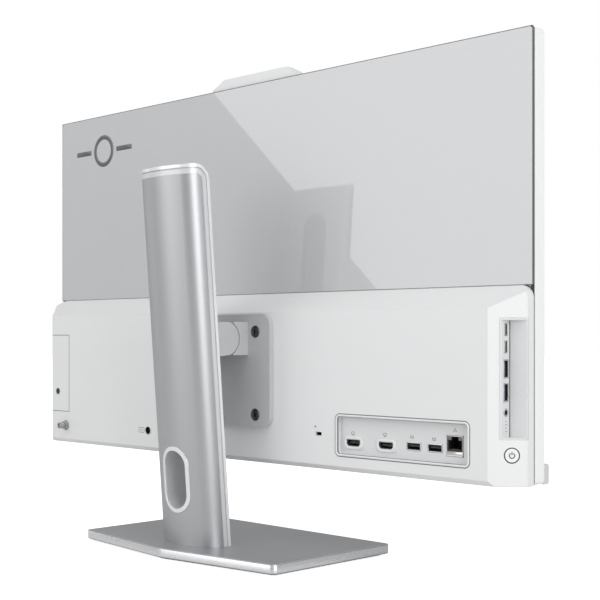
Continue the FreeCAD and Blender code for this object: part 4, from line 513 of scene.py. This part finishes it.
# The cable tunnel carries painted shade: mid grey for the shade inside the cable hole.
paint(TUNNEL_PAINTED_SHADE, "cable_tunnel")
paint(RING_BRIGHT, "cable_hole_ring")
paint(BASE_BRUSHED, "base_plate")
paint(PAD_RUBBER, "base_pad")
paint(SHEET_STEEL, "column_foot", "guide_rods", "rod_bracket", "main_chassis", "drive_cage",
      "lock_slot_plate", "lift_springs", "spring_strips")
paint(SHEET_ALUMINIUM, "display_tray", "drive", "heatsink_fins", "lift_carriage")
paint(SCREW_BLACK, "column_screws")
paint(BUSH_CREAM, "guide_bushes", "friction_washers")
paint(COPPER, "processor_plate", "heat_pipe")
paint(BOARD_GREEN, "mainboard", "memory_modules", "ssd_card", "wireless_card")
paint(PLASTIC_BLACK, "speakers", "fan_housing", "fan_rotor", "lan_socket", "audio_socket", "dc_inlet")
paint(LAYER_WHITE, "backlight_stack")
paint(SCREEN_BLACK, "display_glass")

# ---------------------------------------------------------------- rear connector recess

cover_low, cover_high = extent("rear_cover")
REAR = cover_high[1]
tray_low, tray_high = extent("rear_io_tray")
recess_size = tray_high - tray_low
recess_middle = (tray_low + tray_high) / 2
FLOOR = extent("rear_usb_sockets")[1][1]

lip = hoop(block(recess_size[0] - 1.8, recess_size[2] - 1.8, 3.6, 10), bead(0.85, 0.5))
piece("recess_lip", placed(lip, "rear", (recess_middle[0], tray_high[1], recess_middle[2])), SHELL_WHITE,
      "head")
outer_groove = ribbon(block(recess_size[0] + 0.7, recess_size[2] + 0.7, 4.85, 10), 0.4, 0.04, 0.3)
inner_groove = hoop(block(recess_size[0] - 3.6, recess_size[2] - 3.6, 2.7, 10),
                    [(-0.3, -1.4), (0.25, -1.4), (0.25, -0.15), (-0.3, -0.15)])
grooves = joined([placed(groove, "rear", (recess_middle[0], REAR, recess_middle[2]))
                  for groove in (outer_groove, inner_groove)])
piece("recess_seam", grooves, SEAM_GREY, "head")


def pair_of(node, width):
    """Centres (x, z) in mm of two equal sockets that lie at the ends of one node."""
    low, high = extent(node)
    height = (low[2] + high[2]) / 2
    return [(high[0] - width / 2, height), (low[0] + width / 2, height)]


VIDEO_PORT = rounded([(-5.4, -2.6), (5.4, -2.6), (7.2, -0.9), (7.2, 2.6), (-7.2, 2.6), (-7.2, -0.9)], 0.5, 3)
SHELL_PROFILE = [(0.0, -7.0), (0.45, -7.0), (0.45, 0.3), (0.3, 0.5), (0.1, 0.5), (0.0, 0.3)]
SURROUND_PROFILE = [(0.45, -0.5), (3.0, -0.5), (3.0, 0.0), (2.75, 0.45), (2.2, 0.75), (1.3, 0.8), (0.6, 0.55),
                    (0.45, 0.2)]


def contact_row(count, pitch, width, start, end, y, thick=0.14):
    """Row of flat spring contacts, each a thin bar running into the socket."""
    return joined([strand([(x, y, start), (x, y, end)], width, thick)
                   for x in (np.arange(count) - (count - 1) / 2) * pitch])


def painted_shade_wall(outline, depth):
    """Painted shade inside a socket: a thin black wall lining the metal shell and a black back wall, where
    the inside is dark from shade.
    """
    wall = hoop(outline, [(-0.3, -depth), (-0.02, -depth), (-0.02, -0.5), (-0.3, -0.5)])
    return joined([wall, solid(outline, [(-0.02, -depth - 0.3), (-0.02, -depth)])])


def tongue(width, thick, depth, y=0.0):
    return solid(block(width, thick, 0.12, 2, (0.0, y)), [(0.0, -depth), (0.0, -1.3), (-0.14, -1.1)])


surrounds, shells, painted_shade_walls, blades, contacts = [], [], [], [], []
for x, z in pair_of("video_sockets", 15.8):
    spot = (x, FLOOR, z)
    surrounds.append(placed(hoop(VIDEO_PORT, SURROUND_PROFILE), "rear", (x, FLOOR + 0.5, z)))
    shells.append(placed(hoop(VIDEO_PORT, SHELL_PROFILE), "rear", (x, FLOOR + 0.45, z)))
    painted_shade_walls.append(placed(painted_shade_wall(VIDEO_PORT, 7.0), "rear", spot))
    blades.append(placed(tongue(11.4, 1.5, 7.2, 0.3), "rear", spot))
    rows = joined([contact_row(10, 1.0, 0.5, -7, -1.4, 1.1), contact_row(9, 1.0, 0.5, -7, -1.4, -0.5)])
    contacts.append(placed(rows, "rear", spot))
piece("video_surrounds", joined(surrounds), SHELL_WHITE, "head")

USB_PORT = block(12.9, 5.1, 0.5, 3)
USB_PROFILE = [(0.0, -9.0), (0.45, -9.0), (0.45, -0.1), (0.95, 0.05), (0.95, 0.3), (0.4, 0.5), (0.1, 0.4),
               (0.0, 0.2)]
blue_blades = []
for x, z in pair_of("rear_usb_sockets", 14.3):
    spot = (x, FLOOR, z)
    shells.append(placed(hoop(USB_PORT, USB_PROFILE), "rear", spot))
    painted_shade_walls.append(placed(painted_shade_wall(USB_PORT, 10.0), "rear", spot))
    blades.append(placed(tongue(11.4, 1.9, 10.2, 0.7), "rear", spot))
    contacts.append(placed(contact_row(4, 2.3, 1.1, -9, -1.6, -0.28), "rear", spot))

lan_low, lan_high = extent("lan_socket")
lan_spot = ((lan_low[0] + lan_high[0]) / 2, FLOOR, (lan_low[2] + lan_high[2]) / 2)
LAN_PROFILE = [(0.0, -1.0), (0.9, -1.0), (0.9, 0.35), (0.6, 0.55), (0.2, 0.5), (0.0, 0.2)]
shells.append(placed(hoop(block(14.6, 14.6, 0.6, 3), LAN_PROFILE), "rear", lan_spot))
springs = joined([strand([(x, -2.5, -1.2), (x, -2.3, -2.4), (x, -0.6, -9.5)], 0.42, 0.3)
                  for x in (np.arange(8) - 3.5) * 1.02])
contacts.append(placed(springs, "rear", lan_spot))
ledge = solid(block(14.8, 3.0, 0.3, 3, (0, -5.9)), [(0, -0.4), (0, 0.35), (-0.2, 0.5)])
shells.append(placed(ledge, "rear", lan_spot))
shoulders = joined([solid(block(3.6, 2.6, 0.3, 3, (side * 5.3, 5.9)), [(0, -0.3), (0, 0.15), (-0.15, 0.25)])
                    for side in (-1, 1)])
piece("network_shoulders", placed(shoulders, "rear", lan_spot), SEAM_GREY, "head")

# ---------------------------------------------------------------- side notch sockets

side_low, side_high = extent("side_usb_c_sockets")
notch_wall, port_y = side_low[0], (side_low[1] + side_high[1]) / 2
C_PORT = block(2.7, 8.4, 1.35, 8)
C_PROFILE = [(0.0, -6.0), (0.4, -6.0), (0.4, 0.2), (0.28, 0.35), (0.1, 0.35), (0.0, 0.2)]
for z in (side_high[2] - 4.65, side_low[2] + 4.65):
    spot = (notch_wall, port_y, z)
    shells.append(placed(hoop(C_PORT, C_PROFILE), "end", spot))
    painted_shade_walls.append(placed(painted_shade_wall(C_PORT, 6.2), "end", spot))
    blades.append(placed(tongue(0.7, 6.6, 6.4), "end", spot))
    contacts.append(placed(joined([bar(0.06, 0.28, 0.36 * side, y, -1.5) for side in (-1, 1)
                                   for y in (np.arange(12) - 5.5) * 0.5]), "end", spot))
A_PORT = block(5.0, 12.6, 0.5, 3)
a_low, a_high = extent("side_usb_a_sockets")
for z in (a_high[2] - 7.0, a_low[2] + 7.0):
    spot = (notch_wall, port_y, z)
    slimmer = [(grow * 0.9, level * 0.8) for grow, level in USB_PROFILE]
    shells.append(placed(hoop(A_PORT, slimmer), "end", spot))
    painted_shade_walls.append(placed(painted_shade_wall(A_PORT, 9.0), "end", spot))
    blue_blades.append(placed(tongue(1.9, 11.2, 9.2, 0.0), "end", spot))
    contacts.append(placed(joined([strand([(1.0, y, -8.0), (1.0, y, -1.6)], 0.14, 1.1)
                                   for y in (-3.45, -1.15, 1.15, 3.45)]), "end", spot))
piece("socket_shells", joined(shells), SOCKET_STEEL, "head",
      ("video_sockets", "rear_usb_sockets", "side_usb_c_sockets", "side_usb_a_sockets"), 40)
# Painted shade: black walls inside the socket shells, where their insides are dark from shade.
piece("socket_painted_shade_walls", joined(painted_shade_walls), PLASTIC_BLACK, "head")
piece("socket_tongues", joined(blades), PLASTIC_BLACK, "head")
piece("side_tongues", joined(blue_blades), TONGUE_BLUE, "head")
piece("socket_contacts", joined(contacts), CONTACT_GOLD, "head")

AUDIO_HEIGHT = 137.8
audio_spot = (notch_wall, port_y, AUDIO_HEIGHT)
AUDIO_PROFILE = [(0.0, -1.5), (1.2, -1.5), (1.2, 0.05), (0.95, 0.3), (0.45, 0.3), (0.1, 0.1)]
audio_rim = hoop(circle(1.75, 40), AUDIO_PROFILE)
piece("audio_rim", placed(audio_rim, "end", audio_spot), SOCKET_STEEL, "head")

# ---------------------------------------------------------------- power button

button_low, button_high = extent("power_button")
BEVEL_MIDDLE = (-297.6, -17.4)
BUTTON = (*BEVEL_MIDDLE, (button_low[2] + button_high[2]) / 2)
cap = solid(circle(5.3, 64), [(-3.8, -5.0), (-3.8, -3.0), (1.0, -3.0), (1.0, -2.1), (0.0, -2.1), (0.0, 0.0),
                              (-0.12, 0.22), (-0.4, 0.38), (-0.8, 0.4), (-1.3, 0.33), (-2.6, 0.27),
                              (-5.2, 0.25)])
piece("power_button_cap", placed(cap, "bevel", BUTTON), BUTTON_WHITE, "power_button",
      ("power_button",))
symbol = joined([arc_band(2.0, 0.42, 125, 415, 0.34), bar(0.8, 2.3, 0.0, 1.7, 0.34)])
piece("power_symbol", placed(symbol, "bevel", BUTTON), INK_GREY, "power_button")
piece("power_button_gap", placed(ribbon(circle(5.72, 64), 0.42, PRINT_RISE, 0.3), "bevel", BUTTON), SEAM_DARK,
      "head")

# ---------------------------------------------------------------- antenna socket

mast_low, mast_high = extent("antenna_socket")
mast = ((mast_low[0] + mast_high[0]) / 2, REAR, (mast_low[2] + mast_high[2]) / 2)
reach = mast_high[1] - REAR
turn = np.arange(40) / 40
level = np.linspace(3.0, reach - 0.35, 60)
THREAD_PITCH, THREAD_ROOT, THREAD_HEIGHT = 0.7, 2.78, 0.4
wave = np.abs(((level[:, None] / THREAD_PITCH - turn[None, :]) % 1.0) * 2 - 1)
radii = np.concatenate([np.full((3, 40), 2.75), THREAD_ROOT + THREAD_HEIGHT * wave, np.full((1, 40), 2.8),
                        np.full((3, 40), 2.3)])
radii[-1] = 2.25
levels = np.concatenate([[-8.0, -6.0, 3.0], level, [reach], [reach - 0.2, reach - 3.0, reach - 6.0]])
piece("antenna_barrel", placed(polar(radii, levels=levels), "rear", mast), NICKEL, "head",
      ("antenna_socket",))
teeth = 5.15 + 0.42 * np.abs((np.arange(96) / 4 % 1.0) * 2 - 1)
washer = polar(np.stack([teeth - 0.2, teeth, teeth, teeth - 0.25]), levels=[-0.1, 0.1, 0.55, 0.7])
side = np.arange(72) * 2 * np.pi / 72
flat = 4.0 / np.cos((side + np.pi / 6) % (np.pi / 3) - np.pi / 6)
hexagon = polar(np.stack([np.minimum(flat, 4.35), flat, flat, np.minimum(flat, 4.3), np.full(72, 3.3)]),
                levels=[0.6, 0.85, 2.9, 3.2, 3.25])
piece("antenna_nut_and_washer", placed(joined([washer, hexagon]), "rear", mast), NICKEL, "head",
      ("antenna_nut",), 25)
insulator = polar([2.28, 2.28, 1.9], levels=[reach - 5.9, reach - 2.2, reach - 2.0])
piece("antenna_insulator", placed(insulator, "rear", mast), LAYER_WHITE, "head")
needle = polar([0.5, 0.5, 0.3], 20, [reach - 5.9, reach - 1.3, reach - 1.0])
piece("antenna_contact", placed(needle, "rear", mast), CONTACT_GOLD, "head")

# ---------------------------------------------------------------- power inlet and lock slot

dc_low, dc_high = extent("dc_inlet")
inlet = ((dc_low[0] + dc_high[0]) / 2, REAR, (dc_low[2] + dc_high[2]) / 2)
piece("inlet_rim", placed(hoop(circle(4.3, 64), bead(0.75, 0.55, 8)), "rear", inlet), RECESS_GREY, "head")
LOCK = (-110.7, REAR, 112.1)
piece("lock_slot_rim", placed(hoop(block(7.5, 3.5, 0.9, 6), bead(0.35, 0.22, 6)), "rear", LOCK), RECESS_GREY,
      "head")

# ---------------------------------------------------------------- seams of the head, painted shade in the notch corner and the painted highlight band of the base

frame_low, frame_high = extent("side_frame")
panel_low, panel_high = extent("upper_rear_panel")
head_middle = ((frame_low[0] + frame_high[0]) / 2, (cover_low[1] + frame_high[1]) / 2,
               (frame_low[2] + frame_high[2]) / 2)
head_size = frame_high - frame_low
SEAM_HALF = 0.42
seam = hoop(block(head_size[0], head_size[2], 2.5, 6),
            [(-2.5, -SEAM_HALF), (0.04, -SEAM_HALF), (0.04, SEAM_HALF), (-2.5, SEAM_HALF)])
panel_middle, panel_size = (panel_low + panel_high) / 2, panel_high - panel_low
panel_seam = ribbon(block(panel_size[0] + 0.1, panel_size[2] + 0.1, 0.6, 4), 0.32, PRINT_RISE, 1.2)
piece("head_seam", placed(seam, "rear", head_middle), SEAM_DARK, "head")
piece("panel_seam", placed(panel_seam, "rear", (panel_middle[0], panel_high[1], panel_middle[2])), SEAM_GREY,
      "head")
NOTCH_FLOOR, NOTCH_MIDDLE, NOTCH_HEIGHT = -21.8, 163.6, 89.0
# Painted shade: a dark grey strip down the inner corner of the side notch, where its wall meets its floor.
corner = strand([(0, 0, 0), (0, 0, 0.5)], 0.5, NOTCH_HEIGHT)
piece("notch_corner_painted_shade", placed(corner, "end", (notch_wall, NOTCH_FLOOR, NOTCH_MIDDLE)), SEAM_GREY, "head")

DOOR_EDGE, FLAT_END, HEAD_END = 253.62, 284.5, 306.0
door_low, door_high = extent("drive_tray")


def door_line(height):
    """Dark line across the rear face and the end bevel at a height: a flat bar whose inner and outer edges
    follow the path at a small offset, mitred where the bevel starts."""
    path = np.array([(DOOR_EDGE - 0.25, REAR), (FLAT_END, REAR), (HEAD_END, REAR + FLAT_END - HEAD_END)])
    outward = np.array([(0, 1), (math.tan(math.pi / 8), 1), (DIAGONAL, DIAGONAL)])
    rings = np.zeros((3, 4, 3))
    rings[:, (0, 3), :2] = (path - PRINT_SINK * outward)[:, None]
    rings[:, (1, 2), :2] = (path + PRINT_RISE * outward)[:, None]
    rings[:, :2, 2], rings[:, 2:, 2] = height - 0.25, height + 0.25
    return placed(loft(rings), "top", (0, 0, 0))


HALF_GAP = 0.17
door_side = placed(bar(0.5, door_high[2] - door_low[2] + 0.4), "rear",
                   (DOOR_EDGE, REAR, (door_low[2] + door_high[2]) / 2))
door_lines = joined([door_side, door_line(door_low[2] - HALF_GAP), door_line(door_high[2] + HALF_GAP)])
piece("drive_door_seam", door_lines, SEAM_GREY, "head")

base_low, base_high = extent("base_plate")
BASE_SIDE_END, BASE_TIP = 67, 83
BASE_OUTLINE = rounded([(base_low[0], base_low[1]), (base_high[0], base_low[1]),
                        (base_high[0], BASE_SIDE_END), (0, BASE_TIP), (base_low[0], BASE_SIDE_END)],
                       [6, 6, 6, 45, 6], 10)
# Painted highlight: a band of the lighter base metal over the sides and top edge of the base, so they read
# lit.
band = hoop(BASE_OUTLINE, [(-1.0, base_low[2] + 0.5), (0.15, base_low[2] + 0.8), (0.2, base_high[2] - 1.1),
                           (-0.15, base_high[2] - 0.35), (-0.75, base_high[2] + 0.12),
                           (-1.6, base_high[2] + 0.05), (-1.6, base_high[2] - 1.0)])
piece("base_painted_highlight_band", placed(band, "top", (0, 0, 0)), BASE_PAINTED_HIGHLIGHT, "stand")

# ---------------------------------------------------------------- screws


def screw_head(radius, height, reach=0.0):
    """Pan head with a washer face and a cross recess. The recess radius in each direction is that of two
    crossed bars; the rings run out from the shank, over the dome and down into the recess."""
    angle = np.arange(96) * 2 * np.pi / 96
    cosine, sine = np.abs(np.cos(angle)) + 1e-6, np.abs(np.sin(angle)) + 1e-6
    half, reach = radius * 0.13, reach or radius * 0.5
    arms = np.maximum(np.minimum(reach / cosine, half / sine), np.minimum(reach / sine, half / cosine))
    whole = np.ones(96)
    radii = [whole * radius, whole * radius, whole * radius * 0.93, whole * radius * 0.86,
             whole * radius * 0.8, whole * radius * 0.68, arms * 1.0, arms * 0.92, arms * 0.6]
    levels = np.array([-1.0, 0.25, 0.35, 0.38, 0.8, 0.97, 1.0, 0.85, -0.6]) * height
    return polar(np.stack(radii), levels=levels)


plate_rear = extent("mounting_plate")[1][1]
screws_low, screws_high = extent("mounting_screws")
centre_x = (screws_low[0] + screws_high[0]) / 2
centre_z = (screws_low[2] + screws_high[2]) / 2
SCREW_SPACE = 5.6
reach_x = screws_high[0] - SCREW_SPACE - centre_x
reach_z = screws_high[2] - SCREW_SPACE - centre_z
heads = joined([placed(screw_head(5.45, 1.7), "rear",
                       (centre_x + sx * reach_x, plate_rear - 0.9, centre_z + sz * reach_z))
                for sx in (-1, 1) for sz in (-1, 1)])
piece("mounting_screw_heads", heads, SCREW_BLACK, "head", ("mounting_screws",), 28)
bay_low, bay_high = extent("drive_bay_screw")
bay = ((bay_low[0] + bay_high[0]) / 2, REAR - 0.6, (bay_low[2] + bay_high[2]) / 2)
bay_ring = ribbon(circle(3.15, 48), 0.4, PRINT_RISE, 0.3)
piece("bay_screw_ring", placed(bay_ring, "rear", (bay[0], REAR, bay[2])), SEAM_GREY, "drive_tray")
piece("bay_screw_head", placed(screw_head(2.65, 1.0), "rear", bay), SCREW_BLACK, "drive_tray",
      ("drive_bay_screw",), 28)

# ---------------------------------------------------------------- emblem, icons and small marks

emblem_low, emblem_high = extent("panel_emblem")
emblem = ((emblem_low[0] + emblem_high[0]) / 2, emblem_low[1], (emblem_low[2] + emblem_high[2]) / 2)
BADGE_PROFILE = [(2.25, -0.2), (2.25, 0.15), (1.9, 0.33), (-1.9, 0.33), (-2.25, 0.15), (-2.25, -0.2)]
badge = joined([hoop(circle(14.75, 96), BADGE_PROFILE)]
               + [solid(block(26, 5, 1.0, 5, (side * 35, 0)), [(0, -0.2), (0, 0.15), (-0.35, 0.33)])
                  for side in (-1, 1)])
piece("panel_badge", placed(badge, "rear", emblem), EMBLEM_SATIN, "head", ("panel_emblem",))


def screen_icon():
    return joined([ribbon(block(3.2, 2.0, 0.3, 3), 0.17), bar(1.7, 0.32, 0, -1.7), bar(0.32, 0.5, 0, -1.25)])


def plug_icon():
    return joined([ribbon(block(3.0, 1.7, 0.2, 3), 0.17), bar(0.4, 0.4, -0.55, 0.1),
                   bar(0.4, 0.4, 0.55, 0.1), bar(1.1, 0.25, 0, -1.2)])


def network_icon():
    boxes = [ribbon(block(0.8, 0.8, 0.1, 2, spot), 0.12) for spot in ((0, 0.9), (-1, -0.9), (1, -0.9))]
    return joined([*boxes, bar(2.2, 0.2, 0, 0.0), bar(0.2, 0.5, 0, 0.3)])


def lock_icon():
    return joined([bar(1.5, 1.1, 0, -0.5), arc_band(0.5, 0.12, 0, 180)])


def direct_current_icon():
    return joined([ribbon(block(8.4, 4.6, 0.9, 4), 0.22), bar(4.4, 0.3, 0, 0.5), bar(1.1, 0.3, -1.65, -0.5),
                   bar(1.1, 0.3, 0, -0.5), bar(1.1, 0.3, 1.65, -0.5)])


# Each icon, then its place on the recess floor or the rear face: (x, level, z) in mm.
REAR_ICONS = [
    (screen_icon, (-145.5, FLOOR, 114.3)),
    (screen_icon, (-180.3, FLOOR, 115.1)),
    (plug_icon, (-208.3, FLOOR, 114.7)),
    (plug_icon, (-230.4, FLOOR, 114.4)),
    (network_icon, (-250.8, FLOOR, 122.7)),
    (lock_icon, (-106.8, REAR, 118.4)),
    (direct_current_icon, (inlet[0] + 10.5, REAR, inlet[2])),
]
marks = [placed(icon(), "rear", spot) for icon, spot in REAR_ICONS]
for z, width in ((131.2, 1.6), (128.6, 2.2), (126.0, 1.4), (123.4, 1.8)):
    marks.append(placed(bar(width, 0.45), "end", (notch_wall, port_y, z)))
piece("small_marks", joined(marks), INK_GREY, "head")

# ---------------------------------------------------------------- screen side and camera

glass_low, glass_high = extent("display_glass")
face = ((glass_low[0] + glass_high[0]) / 2, glass_low[1], (glass_low[2] + glass_high[2]) / 2)
glass_size = glass_high - glass_low
border = hoop(block(glass_size[0] - 6, glass_size[2] - 6, 1.2, 4),
              [(-0.6, -0.1), (2.6, -0.1), (2.6, 0.04), (-0.6, 0.04)])
piece("screen_border_band", placed(border, "front", face), SCREEN_BORDER, "head")

lens_low, lens_high = extent("webcam_lens")
lens = ((lens_low[0] + lens_high[0]) / 2, lens_low[1], (lens_low[2] + lens_high[2]) / 2)
eye = polar([3.0, 3.0, 2.6, 2.3, 1.5, 0.2], 56, [-1.2, -0.1, 0.15, -0.05, 0.12, 0.2])
piece("webcam_eye", placed(eye, "front", lens), LENS_GLASS, "webcam", ("webcam_lens",))
pickup = polar([0.55, 0.55, 0.4], 20, [-0.3, 0.05, 0.08])
pickups = joined([moved(pickup, x) for x in (-38, 38, 9)])
piece("webcam_pickups", placed(pickups, "front", lens), PLASTIC_BLACK, "webcam")

# ---------------------------------------------------------------- floor, light and camera

visual_floor = bpy.data.meshes.new("floor")
visual_floor.from_pydata([(-9, -9, 0), (9, -9, 0), (9, 9, 0), (-9, 9, 0)], [], [(0, 1, 2, 3)])
floor = bpy.data.objects.new("floor", visual_floor)
bpy.context.scene.collection.objects.link(floor)
floor_paint = bpy.data.materials.new("floor_paint")
floor_paint.use_nodes = True
tree = floor_paint.node_tree
shader = tree.nodes["Principled BSDF"]
shader.inputs["Base Color"].default_value = (0.82, 0.82, 0.82, 1)
shader.inputs["Roughness"].default_value = 0.9
shader.inputs["Specular IOR Level"].default_value = 0.0
rays = tree.nodes.new("ShaderNodeLightPath")
shader.inputs["Emission Color"].default_value = (1, 1, 1, 1)
FLOOR_GLOW = 0.85
feed(tree, shader.inputs["Emission Strength"],
     math_node(tree, "MULTIPLY", rays.outputs["Is Camera Ray"], FLOOR_GLOW))
visual_floor.materials.append(floor_paint)

world = bpy.data.worlds.new("studio")
bpy.context.scene.world = world
world.use_nodes = True
tree = world.node_tree
backdrop = tree.nodes["Background"]
rays = tree.nodes.new("ShaderNodeLightPath")
WORLD_LIGHT = 0.45
feed(tree, backdrop.inputs["Strength"],
     math_node(tree, "MULTIPLY_ADD", rays.outputs["Is Camera Ray"], 1 - WORLD_LIGHT, WORLD_LIGHT))
backdrop.inputs["Color"].default_value = (1, 1, 1, 1)


def softbox(name, place, target, width, height, radiance, along=(0, 0, 1)):
    """Rectangular area light at a place, facing a target, its height running as near as it can to a
    direction, with the given radiance."""
    light = bpy.data.lights.new(name, "AREA")
    light.shape = "RECTANGLE"
    light.size, light.size_y = width, height
    light.energy = radiance * width * height * math.pi
    lamp = bpy.data.objects.new(name, light)
    bpy.context.scene.collection.objects.link(lamp)
    back = (Vector(place) - Vector(target)).normalized()
    side = Vector(along).cross(back).normalized()
    turn = Matrix((side, back.cross(side), back)).transposed().to_4x4()
    lamp.matrix_world = Matrix.Translation(place) @ turn
    return lamp


softbox("broad_softbox", (0.988, 1.918, 1.043), (0.0, 0.0, 0.3), 1.6, 2.6, 1.3, (0.491, -0.298, 0.818))
softbox("narrow_strip", (2.1, 0.55, 0.6), (0.0, 0.05, 0.2), 0.35, 1.6, 1.0)
softbox("end_softbox", (-1.9, 0.5, 0.6), (-0.3, 0.0, 0.25), 1.1, 1.3, 3.2)
softbox("top_softbox", (-0.7, 0.7, 2.0), (-0.1, 0.0, 0.2), 1.6, 1.2, 1.8)

camera = bpy.data.objects.new("camera", bpy.data.cameras.new("camera"))
bpy.context.scene.collection.objects.link(camera)
camera.location = (-0.8301, 0.7781, 0.1964)
camera.rotation_mode = "QUATERNION"
camera.rotation_quaternion = Vector((0.7258, -0.6879, 0.0)).to_track_quat("-Z", "Y")
camera.data.sensor_width = 36
camera.data.lens = 73.77
camera.data.shift_x = 0.11
camera.data.shift_y = 0.0598
camera.data.clip_start = 0.01
bpy.context.scene.camera = camera
bpy.context.scene.view_settings.view_transform = "Standard"
